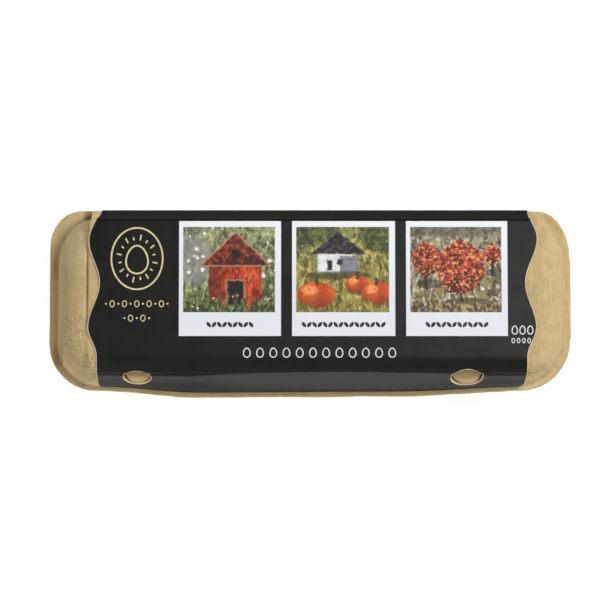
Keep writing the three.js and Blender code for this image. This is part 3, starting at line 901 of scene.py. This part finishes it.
def stroke(path, width, closed=False):
    """A printed line of this width along a path."""
    path = np.asarray(path, float)
    along = np.roll(path, -1, 0) - np.roll(path, 1, 0) if closed else np.gradient(path, axis=0)
    side = np.column_stack([-along[:, 1], along[:, 0]])
    side *= width / 2 / np.linalg.norm(side, axis=1, keepdims=True)
    low = PRINT_LIFT - PRINT_DEPTH
    rails = ((-side, PRINT_LIFT), (side, PRINT_LIFT), (side, low), (-side, low))
    count = len(path)
    faces = band(4, count, looped=True, closed=closed)
    if not closed:
        faces.append(tuple(k * count for k in range(4)))
        faces.append(tuple(k * count + count - 1 for k in reversed(range(4))))
    return np.vstack([on_label(path + step, lift) for step, lift in rails]), faces


def oval(x, y, wide, high, count=40, egg=0.0):
    """An oval outline with these half sizes, anticlockwise, narrower at the top by egg."""
    cosine, sine = circle(count)
    return np.column_stack([x + wide * cosine * (1 - egg * sine), y + high * sine])


# Properties


def length(name, description, default):
    """A size in millimetres that the sidebar shows as a length."""
    return FloatProperty(name=name, description=description, default=default * MM, unit="LENGTH", precision=5)


def number(name, description, default):
    return FloatProperty(name=name, description=description, default=default)


def colour(name, description, red, green, blue):
    """A colour given from 0 to 255 as screens show it."""
    settings = {"subtype": "COLOR", "size": 3, "min": 0.0, "max": 1.0}
    return FloatVectorProperty(name=name, description=description, default=tone(red, green, blue), **settings)


class PulpSettings(PropertyGroup):
    lid_voxel: length("Lid detail", "Size of the facets that the lid is moulded with", 0.75)
    tray_voxel: length("Tray detail", "Size of the facets that the tray is moulded with", 1.0)
    softness: IntProperty(
        name="Softness", description="How often the moulded edges are softened", default=3, min=0
    )
    bump: number("Surface relief", "Height of the fine relief, in millimetres", 0.5)
    screen_pitch: number("Screen pitch", "Pitch of the mould's screen, in millimetres", 1.3)
    olive_pulp: colour("Olive pulp", "Pulp where it is greenest", 196, 173, 124)
    rosy_pulp: colour("Rosy pulp", "Pulp where it is reddest", 205, 178, 131)
    dark_pulp: colour("Dark pulp", "Specks and hollows", 138, 112, 76)
    pale_pulp: colour("Pale pulp", "Fibres and high spots", 222, 202, 156)
    # Colour of the stains and of the painted shade in the notch, the crease, the dent, on the flanges and over
    # the knobs
    stain_and_shade: colour("Stain", "Damp marks and the shade in notches", 112, 88, 50)


class LabelSettings(PropertyGroup):
    border: length("Cut edge", "Width of the bare paper along the wavy ends", 0.45)
    gloss_roughness: number("Ink roughness", "Roughness of the black ink", 0.3)
    # strength of the painted sheen: paler ink down the front wall under the fold
    front_painted_sheen: number("Front wear", "How far the ink is rubbed pale under the front fold", 0.9)
    front_dull: number("Front dullness", "How far the gloss is rubbed off down the front", 0.62)
    fold_rise: number("Fold rise", "How far the front fold arches up in the middle, in millimetres", 2.5)
    bump: number("Relief", "Height of the pulp's lumps through the label, in millimetres", 0.16)
    ink_dark: colour("Ink", "The label's black", 18, 17, 15)
    # the palest ink, for its random paling and for the painted sheen down the front
    ink_pale_and_sheen: colour("Worn ink", "The label's black where it is palest", 70, 69, 67)
    edge_pale: colour("Cut paper", "Bare paper along the label's edge", 226, 212, 184)
    edge_dark: colour("Cut paper, shaded", "Bare paper where it is dirtiest", 196, 176, 140)


class PrintSettings(PropertyGroup):
    line: length("Gold line", "Width of the gold lines", 0.95)
    gold: colour("Gold", "The gold print", 226, 212, 166)
    gold_dark: colour("Gold, shaded", "The gold print where it is thin", 198, 178, 128)
    white: colour("White", "The white print", 226, 226, 224)
    white_dark: colour("White, shaded", "The white print where it is thin", 196, 196, 194)
    black: colour("Black", "The marks under the pictures", 26, 26, 28)
    card_white: colour("Card", "The white of the picture cards", 225, 227, 234)
    # painted light: the white of the cards towards the back
    card_painted_light: colour("Card, far edge", "The white of the cards at the back", 236, 238, 244)


class StageSettings(PropertyGroup):
    distance: length("Camera distance", "From the camera to what it looks at", 2000)
    across: length("Frame width", "How much the picture takes in across", 345.8)
    elevation: FloatProperty(
        name="Camera height", description="Above the table", default=math.radians(83.5), unit="ROTATION"
    )
    target: FloatVectorProperty(
        name="Looks at",
        description="The point in the middle of the picture",
        default=(-0.0059, 0.002, 0.04),
        subtype="XYZ",
    )
    key: number("Key light", "Power of the soft light at the back right", 105)
    fill: number("Fill light", "Power of the weak light at the front left", 4.7)
    top: number("Top light", "Power of the softbox over the right end", 8)
    left: number("Left light", "Power of the low soft light at the left", 4.2)
    front: number("Front light", "Power of the low soft strip at the front", 5.2)
    sky: number("Walls", "Brightness of the studio near the floor", 0.2)
    zenith: number("Ceiling", "Brightness of the studio overhead", 0.08)
    floor: colour("Floor", "The pale floor", 118, 118, 118)
    floor_glow: number("Floor glow", "Light that comes up through the table", 0.92)


# Pieces


def lid_rings():
    """The lid's outside from its underside up."""
    flange = (
        (LID_UNDER, 0.6, 0.6, 0.6),
        (LID_UNDER + 0.7, 0, 0, 0),
        (FLANGE_TOP - 0.7, 0, 0, 0),
        (FLANGE_TOP - 0.1, 0.6, 0.5, 0.6),
    )
    rings = [plan_ring(*ring) for ring in flange]
    rise = np.sin(np.linspace(0, math.pi / 2, 34))
    for z in FLANGE_TOP + (LID_TOP - FLANGE_TOP) * rise:
        end = END_FLANGE + dome_inset(z, END_RUN, FLANGE_TOP, LID_TOP)
        back = BACK_FLANGE + dome_inset(z, BACK_RUN, FLANGE_TOP, LID_TOP)
        rings.append(plan_ring(z, end, front_inset(z), back, bulge_share(z), DOME_CORNERS))
    return rings


def panel_rings():
    """The raised panel from its stepped left end to its right, where it sinks evenly into the dome."""
    outside = panel_profile()
    under = [(outside[-1][0] + 2, 6), (PANEL_BACK[0] - 8, 1), (PANEL_BACK[0] - 1, 0.8)]
    section = np.vstack([outside, [(y, LID_UNDER + rise) for y, rise in under]])
    left = PANEL_LEFT + PANEL_BACK_STEP * smooth(section[:, 0], 42, 46)
    rings = [np.column_stack([left, section])]
    middle = np.array([0, LID_UNDER + 3])
    for turn in np.linspace(0, 1.45, 12):
        x = PANEL_RIGHT + PANEL_RIGHT_FADE * (math.sin(turn) - 1)
        rings.append(station(middle + (section - middle) * math.cos(turn) ** 0.3, x))
    return rings


def lock_cutter(side, grow, depth, *materials):
    """The prism that cuts a lock hole, from this depth under the wall to well outside it."""
    _, width, height, _ = LOCKS[side]
    outline = eye_outline(width + 3 * grow, height + 2 * grow, 40, LOCK_BLUNT)
    rings = [on_front_wall(level(outline, out), side) for out in (-depth, 8)]
    return make_mesh("cutter", loft(rings), *materials)


class CARTON_OT_lid(Operator):
    """Mould the lid: its flange, domed ends, raised panel and lock holes"""

    bl_idname = "carton.lid"
    bl_label = "Lid"

    def execute(self, context):
        settings = context.scene.carton_pulp
        material = pulp_material("lid pulp", settings)
        lid = make_mesh("carton_lid", joined([loft(lid_rings()), loft(panel_rings())]), material)
        fuse(lid, settings.lid_voxel)
        self.press(lid)
        x, _, z = points_of(lid.data).T
        soften(lid, 24, smooth(x, 124, 134) * (z > FLANGE_TOP - 1.2))
        soften(lid, settings.softness)
        roughen(lid, [(26, 0.28), (6, 0.1), (2.2, 0.05)])
        for side in LOCKS:
            cut(lid, lock_cutter(side, 0, LOCK_DEPTH, material))
        finish_piece(lid, "pulp", "lid")
        return {"FINISHED"}

    def press(self, lid):
        """Presses in the crease, the notch and the dents that the ends have."""
        points = points_of(lid.data)
        x, y, z = points.T
        above = smooth(z, FLANGE_TOP + 2, FLANGE_TOP + 12)
        crease = (1 + 0.6 * uneven(points, 5, 9)) * smooth(y, -20, -12) * (1 - smooth(y, 26, 34))
        crease *= np.exp(-(((x - PANEL_LEFT + 0.6) / 0.6) ** 2))
        dents = sum(depth * hollow(points, *place) for *place, depth in DENTS)
        dents += 0.8 * np.exp(-(((x - 144.3) / 0.6) ** 2) - ((y - 12) / 3) ** 2)
        notch = smooth(x, *NOTCH["left"]) * (1 - smooth(x, *NOTCH["right"]))
        notch *= smooth(y, *NOTCH["front"]) * (1 - smooth(y, *NOTCH["back"]))
        flat = (z > LID_UNDER + 1.6) & (z < FLANGE_TOP + 1.5)
        push(lid.data, points, -(crease + dents) * above - NOTCH_DEPTH * notch * flat)


def hollow(points, x, y, radius):
    """The share of a round dent's depth at these points, seen from above."""
    return np.exp(-((points[:, 0] - x) ** 2 + (points[:, 1] - y) ** 2) / radius**2)


def cup_ring(x, y, z, half):
    """A rounded square of this half width at height z."""
    cosine, sine = circle(64)
    power = CUP_SQUARENESS
    radius = half / (abs(cosine) ** power + abs(sine) ** power) ** (1 / power)
    return level(np.column_stack([x + radius * cosine, y + radius * sine]), z)


def cup_half(z):
    """A cup's half width at height z: a rounded foot, then a wall that leans out."""
    wall = CUP_BOTTOM + (CUP_TOP - CUP_BOTTOM) * (z / CUP_HEIGHT) ** 0.92
    foot = max(1 - z / FOOT_ROUND, 0)
    return wall - (CUP_BOTTOM - CUP_FOOT) * foot * foot


def web(start, end):
    """A web with an arched underside between two places, given as (x, y)."""
    start, end = np.array(start), np.array(end)
    along = (end - start) / np.linalg.norm(end - start)
    across = np.array([-along[1], along[0]])
    side = np.linspace(-1, 1, 17)
    arch = WEB_Z + (RIM_WALL_Z + 3 - WEB_Z) * side**2
    rings = []
    for x, y in (start, end):
        low = np.column_stack([x + WEB_HALF * side * across[0], y + WEB_HALF * side * across[1], arch])
        high = low[::-1] * [1, 1, 0] + [0, 0, RIM_WALL_Z + 4]
        rings.append(np.vstack([low, high]))
    return loft(rings)


def cup_centres():
    """The middles of the cups, seen from above, row by row."""
    middle = (BACK_Y + FRONT_Y) / 2
    columns = (np.arange(CUPS_ALONG) - (CUPS_ALONG - 1) / 2) * CUP_PITCH
    rows = middle + (np.arange(CUPS_ACROSS) - (CUPS_ACROSS - 1) / 2) * CUP_PITCH
    return [[(x, y) for x in columns] for y in rows]


def rim_shape():
    """The tray's rim, with the wall under it."""
    rings = (
        (RIM_WALL_Z, 7.2, 5.4, 6.2),
        (RIM_UNDER - 0.6, 5.6, 3.6, 4.4),
        (RIM_UNDER, 0.7, 0.6, 0.7),
        (RIM_UNDER + 0.7, 0, 0, 0),
        (TRAY_TOP - 0.6, 0, 0, 0),
        (TRAY_TOP, 0.5, 0.5, 0.5),
    )
    return loft([plan_ring(*ring) for ring in rings])


def post_shape(x, y):
    """The hollow under a post between four cups."""
    cosine, sine = circle(32)
    return loft([
        level(np.column_stack([x + radius * cosine, y + radius * sine]), z)
        for radius, z in ((POST_FOOT, RIM_WALL_Z - 4), (POST_TIP, POST_TIP_Z))
    ])


class CARTON_OT_tray(Operator):
    """Mould the tray: its rim and the cups that it stands on"""

    bl_idname = "carton.tray"
    bl_label = "Tray"

    def execute(self, context):
        settings = context.scene.carton_pulp
        rows = cup_centres()
        rim = make_mesh("carton_tray", rim_shape(), pulp_material("tray pulp", settings))
        middle = (rows[0][0][1] + rows[-1][0][1]) / 2
        posts = [post_shape((a[0] + b[0]) / 2, middle) for a, b in zip(rows[0], rows[0][1:])]
        cut(rim, make_mesh("cutter", joined(posts)))
        heights = np.concatenate([np.linspace(0, FOOT_ROUND, 6), np.linspace(4, CUP_HEIGHT, 12)])
        shapes = [loft([cup_ring(x, y, z, cup_half(z)) for z in heights]) for row in rows for x, y in row]
        shapes += [web(row[0], row[-1]) for row in rows]
        shapes += [web(front, back) for front, back in zip(rows[0], rows[-1])]
        cups = make_mesh("cups", joined(shapes))
        with context.temp_override(active_object=rim, selected_editable_objects=[rim, cups]):
            bpy.ops.object.join()
        fuse(rim, settings.tray_voxel)
        soften(rim, settings.softness + 3)
        self.dish_feet(rim, rows)
        roughen(rim, [(24, 0.3), (6, 0.12), (2.4, 0.06)])
        finish_piece(rim, "pulp", "tray")
        return {"FINISHED"}

    def dish_feet(self, tray, rows):
        """Presses a shallow round dish into each foot."""
        points = points_of(tray.data)
        for x, y in (centre for row in rows for centre in row):
            from_middle = np.hypot(points[:, 0] - x, points[:, 1] - y)
            low = (points[:, 2] < 1.5) & (from_middle < 8)
            share = 1 - smooth(from_middle[low], FOOT_DISH["flat"], FOOT_DISH["edge"])
            points[low, 2] += FOOT_DISH["depth"] * share
        set_points(tray.data, points)


class CARTON_OT_hinge(Operator):
    """Make the fold that joins lid and tray along the back"""

    bl_idname = "carton.hinge"
    bl_label = "Hinge"

    def execute(self, context):
        settings = context.scene.carton_pulp
        inner = HINGE_LOW[1]
        outer = inner + HINGE_SWELL * (HINGE_HIGH[1] - inner)
        low, high = HINGE_LOW[2], HINGE_HIGH[2]
        middle = (low + high) / 2
        angle = np.linspace(-math.pi / 2, math.pi / 2, 14)
        swell = (outer - inner) * np.cos(angle) ** 0.6
        bow = np.column_stack([inner + swell, middle + (high - low) / 2 * np.sin(angle)])
        bow[:, 0] -= 0.25 * np.exp(-(((bow[:, 1] - middle) / 0.5) ** 2))
        section = np.vstack([bow, [(inner - 0.2, high - 0.2), (inner - 0.2, low + 0.2)]])
        stations = np.linspace(HINGE_LOW[0] + HINGE_END, HINGE_HIGH[0] - HINGE_END, 260)
        fold = loft([station(section, x) for x in stations])
        hinge = make_mesh("hinge_fold", fold, pulp_material("hinge pulp", settings))
        roughen(hinge, [(9, 0.1), (3, 0.05)])
        finish_piece(hinge, "pulp", "hinge")
        return {"FINISHED"}


def refine(line, step):
    """The same line with long pieces cut into equal parts no longer than a step."""
    points = [line[:1]]
    for a, b in zip(line, line[1:]):
        parts = max(math.ceil(np.linalg.norm(b - a) / step), 1)
        points.append(a + (b - a) * (np.arange(1, parts + 1) / parts)[:, None])
    return np.vstack(points)


def skin_profiles(stations):
    """The lid's skin under the label in (y, z), from its back edge to its front one, at these stations."""
    over = panel_profile()
    low, high = over[:2]
    back_edge = low + (high - low) * (LABEL_BACK_Z - low[1]) / (high[1] - low[1])
    fixed = refine(np.vstack([back_edge, over[1:]]), LABEL_STEP)
    heights = np.linspace(FRONT_CREASE["z"], LABEL_FRONT_Z, 18)[1:]
    walls = [level(front_wall_y(stations, z), z) for z in heights]
    over_all = np.repeat(fixed[:, None, :], len(stations), axis=1)
    return np.concatenate([over_all, np.array(walls)])


def offset(profiles, distance):
    """Profiles moved outwards by a distance."""
    along = np.gradient(profiles, axis=0)
    along /= np.linalg.norm(along, axis=2, keepdims=True)
    return profiles + distance * np.stack([along[..., 1], -along[..., 0]], -1)


def label_ruler(profile):
    """How far across the label each point of a profile lies: its y on the top, and its length past that."""
    steps = np.linalg.norm(np.diff(profile, axis=0), axis=1)
    length_so_far = np.concatenate([[0], np.cumsum(steps)])
    start = int(np.argmax(profile[:, 1] > PANEL_TOP - 0.01))
    return profile[start, 0] + length_so_far[start] - length_so_far


def wave(across, turns):
    """The wave of a label's end at these places across it, in even curves from turn to turn."""
    reach = np.full(len(across), float(turns[0][1]))
    for (start, before), (end, after) in zip(turns, turns[1:]):
        share = np.clip((start - across) / (start - end), 0, 1)
        reach += (after - before) * (0.5 - 0.5 * np.cos(math.pi * share))
    return reach


def label_reach(across, crease, end):
    """How far out an end of the label reaches: a wave over the top, drawn in down the front wall."""
    down = np.clip((crease - across) / (crease - across[-1]), 0, 1)
    return LABEL_HALF + wave(across, WAVES[end]) - LABEL_SWEEP[end] * down**1.5


def label_grid(distance, border):
    """The label's points at this distance from the lid, with a narrow column along each wavy end."""
    middle = skin_profiles(np.zeros(1))[:, 0]
    across = label_ruler(middle)
    crease = across[int(np.argmax((middle[:, 0] < 0) & (middle[:, 1] < FRONT_CREASE["z"] + 0.01)))]
    left = LABEL_CENTRE - label_reach(across, crease, "left")
    right = LABEL_CENTRE + label_reach(across, crease, "right")
    inner = np.linspace(left + border, right - border, LABEL_COLUMNS)
    stations = np.vstack([left, inner, right]).T
    rows = []
    for row, places in enumerate(stations):
        profiles = offset(skin_profiles(places), distance)[row]
        points = np.column_stack([places, profiles])
        points[:, 2] += label_wave(places, profiles[:, 0])
        rows.append(points)
    return np.array(rows)[::-1]


class CARTON_OT_label(Operator):
    """Lay the black label over the lid and cut its lock holes"""

    bl_idname = "carton.label"
    bl_label = "Label"

    def execute(self, context):
        settings = context.scene.carton_label
        top, under = (label_grid(gap, settings.border / MM) for gap in (LABEL_LIFT, LABEL_GAP))
        ink, edge = label_material(settings), edge_material(settings)
        label = make_mesh("label_sheet", sheet(top, under), ink, edge)
        rows, columns = top.shape[:2]
        bare = np.zeros((rows - 1, columns - 1), int)
        bare[:, [0, -1]] = 1
        sides = len(label.data.polygons) - 2 * bare.size
        label.data.polygons.foreach_set("material_index", [*bare.ravel(), *bare.ravel(), *([1] * sides)])
        for side in LOCKS:
            cut(label, lock_cutter(side, 0.3, 2, edge))
        finish_piece(label, "label_paper", "label")
        return {"FINISHED"}


def knob_rings(width, height, corners, shift):
    """A lock's knob, across, up and out of the front wall. It fills the eye but for its lower corners."""
    outline = eye_outline(width - 0.4, height - 0.2, 40, LOCK_BLUNT)
    x, up = outline.T
    for side, depth in zip((-1, 1), corners):
        outside = smooth(side * x, 0.16 * width, 0.5 * width) * smooth(-up, -0.6, 1.2)
        outline = outline + np.column_stack([-side * depth * outside, 0.75 * depth * outside])
    outline = outline + shift
    rise = np.linspace(0, 0.94, 12) * math.pi / 2
    steps = [(-LOCK_DEPTH + 0.3, 1.0), (-KNOB_DEPTH, 1.0)]
    steps += [(-KNOB_DEPTH + KNOB_DOME * math.sin(t), math.cos(t) ** 0.6) for t in rise[1:]]
    tilt = -3.4 / height
    rings = []
    for out, share in steps:
        lean = tilt * share * outline[:, 1] * (out >= -KNOB_DEPTH)
        rings.append(np.column_stack([share * outline, out + lean]))
    return rings


class CARTON_OT_locks(Operator):
    """Make the lock knobs and the paper lips round the lock holes"""

    bl_idname = "carton.locks"
    bl_label = "Locks"

    def execute(self, context):
        settings = context.scene.carton_pulp
        material = pulp_material("lock pulp", settings)
        skin = BVHTree.FromObject(bpy.data.objects["carton_lid"], context.evaluated_depsgraph_get())
        paper = edge_material(context.scene.carton_label)
        for side, (_, width, height, _) in LOCKS.items():
            plain = knob_rings(width, height, KNOB_CORNERS[side], KNOB_SHIFT[side])
            rings = [on_front_wall(ring, side) for ring in plain]
            knob = make_mesh(f"lock_{side}_knob", loft(rings), material)
            roughen(knob, [(4, 0.16), (1.6, 0.08)])
            finish_piece(knob, "pulp", f"lock_knob_{side}")
            lip = make_mesh(f"lock_{side}_lip", self.lip(skin, side), paper)
            roughen(lip, [(3, 0.06)])
            finish_piece(lip, "label_paper")
        return {"FINISHED"}

    def lip(self, skin, side, radius=0.32):
        """The label's cut edge, which follows the lid's skin round a lock hole."""
        _, width, height, _ = LOCKS[side]
        outline = eye_outline(width + 0.5, height + 0.3, 40, LOCK_BLUNT)
        points = on_front_wall(level(outline, 5.0), side)
        start, end = on_front_wall(np.array([[0, 0, 0], [0, 0, -1.0]]), side)
        inward = Vector(end - start)
        hits = [skin.ray_cast(Vector(p) * MM, inward)[0] for p in points]
        if any(hit is None for hit in hits):
            raise RuntimeError("the lip of a lock hole leaves the lid")
        path = np.array([tuple(hit / MM) for hit in hits]) - LABEL_GAP * np.array(inward)
        along = np.roll(path, -1, 0) - np.roll(path, 1, 0)
        along /= np.linalg.norm(along, axis=1, keepdims=True)
        out = -np.array(inward)
        aside = np.cross(along, out)
        aside /= np.linalg.norm(aside, axis=1, keepdims=True)
        tube = [path + radius * (cosine * aside + sine * out * 1.4) for cosine, sine in zip(*circle(10))]
        return np.vstack(tube), band(len(tube), len(path), looped=True)


class CARTON_OT_cards(Operator):
    """Lay the three picture cards on the label"""

    bl_idname = "carton.cards"
    bl_label = "Picture cards"

    def execute(self, context):
        settings = context.scene.carton_print
        for side, (left, width) in CARDS.items():
            across = np.linspace(left, left + width, 40)
            x, y = np.meshgrid(across, np.linspace(CARD_LOW, CARD_LOW + CARD_HEIGHT, 44))
            plan = np.column_stack([x.ravel(), y.ravel()])
            top, under = (on_label(plan, lift).reshape(*x.shape, 3) for lift in (PRINT_LIFT, -0.08))
            card = make_mesh(f"picture_card_{side}", sheet(top, under), card_material(side, settings))
            finish_piece(card, "label_paper")
        return {"FINISHED"}


class CARTON_OT_ornaments(Operator):
    """Print the gold emblem, the white row of eggs and the small marks"""

    bl_idname = "carton.ornaments"
    bl_label = "Ornaments"

    def execute(self, context):
        settings = context.scene.carton_print
        gold = print_material("gold print", settings.gold, settings.gold_dark, 0.4)
        white = print_material("white print", settings.white, settings.white_dark, 0.5)
        black = print_material("black print", settings.black, settings.black, 0.5)
        emblem = self.emblem(settings.line / MM) + self.gold_beads()
        for name, shapes, material in (
            ("gold_ornament", emblem, gold),
            ("white_ornament", self.egg_row() + self.side_marks(), white),
            ("card_marks", self.card_marks(), black),
        ):
            finish_piece(make_mesh(name, joined(shapes), material), "label_paper")
        return {"FINISHED"}

    def emblem(self, line, x=-98.6, y=22.5):
        """An egg in a ring of rays, inside an oval ring."""
        shapes = [stroke(oval(x, y, 14.6, 17.6, 72), line, True)]
        shapes.append(stroke(oval(x, y - 0.6, 6.2, 8, 56, 0.14), line, True))
        for k in range(16):
            angle = 2 * math.pi * (k + 0.5) / 16
            way = np.array([math.cos(angle), math.sin(angle) * 1.18])
            outer = RAY_LONG if k % 2 else RAY_SHORT
            shapes.append(stroke([(x, y) + way * RAY_START, (x, y) + way * outer], line * 0.85))
        return shapes

    def gold_beads(self, x=-98.6, y=-3.4, drop=8.2):
        """Two rows of small beads under the emblem, large and small by turns."""
        shapes = []
        for row, count in ((y, 5), (y - drop, 2)):
            for k in range(-count, count + 1):
                place = x + 3.5 * k
                if (k - count) % 2:
                    shapes.append(stroke(oval(place, row, 1.25, 1.7, 26), 0.5, True))
                else:
                    shapes.append(inlay(oval(place, row, 0.55, 0.55, 14)))
        return shapes

    def egg_row(self, x=5.2, y=-31.3, gap=7.5):
        """Twelve small eggs in outline, one for each in the carton."""
        return [stroke(oval(x + gap * (k - 5.5), y, 1.9, 2.6, 34, 0.13), 0.65, True) for k in range(12)]

    def side_marks(self, x=120.4, y=-18.4):
        """Three small eggs over four smaller ones at the label's right end."""
        large = [oval(x + 4.4 * (k - 1), y, 1.5, 2.3, 30, 0.13) for k in range(3)]
        small = [oval(x - 0.8 + 3 * (k - 1.5), y - 6, 0.8, 1.3, 22) for k in range(4)]
        return [stroke(egg, 0.65, True) for egg in large] + [stroke(egg, 0.5, True) for egg in small]

    def card_marks(self, up=6.5):
        """A garland of small leaves under each picture."""
        shapes = []
        leaf = eye_outline(3.9, 2.0, 9)
        for (left, width), count in zip(CARDS.values(), (9, 16, 12)):
            for k in range(count):
                x = left + width / 2 + 3.0 * (k - (count - 1) / 2)
                turn = math.radians(52 if k % 2 else -52)
                cosine, sine = math.cos(turn), math.sin(turn)
                turned = leaf @ np.array([[cosine, sine], [-sine, cosine]])
                shapes.append(inlay(turned + (x, CARD_LOW + up), 0.09))
        return shapes


# Stage


def look_at(thing, spot):
    """Turns a camera or light so that it faces a spot, with +Y up in a view from above."""
    thing.rotation_euler = (Vector(spot) - thing.location).to_track_quat("-Z", "Y").to_euler()


def add_light(name, power, size, place, spot):
    """A large soft light."""
    light = bpy.data.lights.new(name, "AREA")
    light.energy = power
    light.shape = "RECTANGLE"
    light.size, light.size_y = size
    lamp = bpy.data.objects.new(name, light)
    lamp.location = place
    look_at(lamp, spot)
    bpy.context.scene.collection.objects.link(lamp)


class CARTON_OT_stage(Operator):
    """Set up the floor, the soft lights and the camera"""

    bl_idname = "carton.stage"
    bl_label = "Stage"

    def execute(self, context):
        settings = context.scene.carton_stage
        self.floor(settings)
        self.studio(context, settings)
        self.camera(context, settings)
        context.scene.view_settings.view_transform = "Standard"
        return {"FINISHED"}

    def floor(self, settings):
        nodes = Nodes("studio floor")
        shade = nodes.cloud(nodes.place(), 180, 2)
        pale = tuple(0.96 * c for c in settings.floor)
        colour = nodes.mix(shade, settings.floor, pale)
        glow = {"emission_color": (1, 1, 1, 1), "emission_strength": settings.floor_glow}
        nodes.surface(colour, roughness=0.9, specular_ior_level=0.1, **glow)
        reach = 4000
        corners = np.array([(-reach, -reach, 0), (reach, -reach, 0), (reach, reach, 0), (-reach, reach, 0)])
        make_mesh("floor", (corners, [(0, 1, 2, 3)]), nodes.material)

    def studio(self, context, settings):
        world = bpy.data.worlds.new("studio")
        world.use_nodes = True
        tree = world.node_tree
        way = tree.nodes.new("ShaderNodeTexCoord")
        parts = tree.nodes.new("ShaderNodeSeparateXYZ")
        height = tree.nodes.new("ShaderNodeMapRange")
        height.interpolation_type = "SMOOTHSTEP"
        ends = {"From Min": 0.1, "From Max": 0.95, "To Min": settings.sky, "To Max": settings.zenith}
        for name, value in ends.items():
            height.inputs[name].default_value = value
        tree.links.new(way.outputs["Generated"], parts.inputs[0])
        tree.links.new(parts.outputs["Z"], height.inputs["Value"])
        tree.links.new(height.outputs["Result"], tree.nodes["Background"].inputs["Strength"])
        tree.nodes["Background"].inputs["Color"].default_value = (1, 1, 1, 1)
        context.scene.world = world
        for name, size, place in (
            ("key", (0.9, 0.9), (2.4, 1.1, 2.8)),
            ("fill", (1.2, 1.2), (-0.6, -1.1, 1.5)),
            ("top", (0.5, 0.7), (0.5, 0.25, 1.9)),
            ("left", (0.8, 0.8), (-1.5, 0.2, 0.8)),
            ("front", (2.4, 0.4), (0, -1.6, 0.5)),
        ):
            add_light(f"{name} light", getattr(settings, name), size, place, (0, 0, 0.04))

    def camera(self, context, settings):
        camera = bpy.data.cameras.new("camera")
        camera.sensor_width = 36
        camera.lens = 36 * settings.distance / settings.across
        camera.clip_end = 20
        eye = bpy.data.objects.new("camera", camera)
        height = settings.elevation
        away = Vector((0, -math.cos(height), math.sin(height)))
        eye.location = Vector(settings.target) + settings.distance * away
        look_at(eye, settings.target)
        context.scene.collection.objects.link(eye)
        context.scene.camera = eye


class CARTON_PT_sidebar(Panel):
    """Sizes, colours and steps of the egg carton"""

    bl_label = "Egg carton"
    bl_space_type = "VIEW_3D"
    bl_region_type = "UI"
    bl_category = "Egg carton"

    def draw(self, context):
        for name, steps in SECTIONS.items():
            settings = getattr(context.scene, name)
            box = self.layout.box()
            for step in steps:
                box.operator(step.bl_idname)
            for prop in settings.bl_rna.properties:
                if prop.identifier not in ("rna_type", "name"):
                    box.prop(settings, prop.identifier)


SETTINGS = {
    "carton_pulp": PulpSettings,
    "carton_label": LabelSettings,
    "carton_print": PrintSettings,
    "carton_stage": StageSettings,
}
SECTIONS = {
    "carton_pulp": (CARTON_OT_lid, CARTON_OT_tray, CARTON_OT_hinge, CARTON_OT_locks),
    "carton_label": (CARTON_OT_label,),
    "carton_print": (CARTON_OT_cards, CARTON_OT_ornaments),
    "carton_stage": (CARTON_OT_stage,),
}
CLASSES = (*SETTINGS.values(), *(step for steps in SECTIONS.values() for step in steps), CARTON_PT_sidebar)


def register():
    for cls in CLASSES:
        bpy.utils.register_class(cls)
    for name, cls in SETTINGS.items():
        setattr(bpy.types.Scene, name, PointerProperty(type=cls))


def unregister():
    for name in SETTINGS:
        delattr(bpy.types.Scene, name)
    for cls in reversed(CLASSES):
        bpy.utils.unregister_class(cls)


def main():
    register()
    bpy.ops.carton.lid()
    bpy.ops.carton.tray()
    bpy.ops.carton.hinge()
    bpy.ops.carton.locks()
    bpy.ops.carton.label()
    bpy.ops.carton.cards()
    bpy.ops.carton.ornaments()
    bpy.ops.carton.stage()


if __name__ == "__main__":
    main()
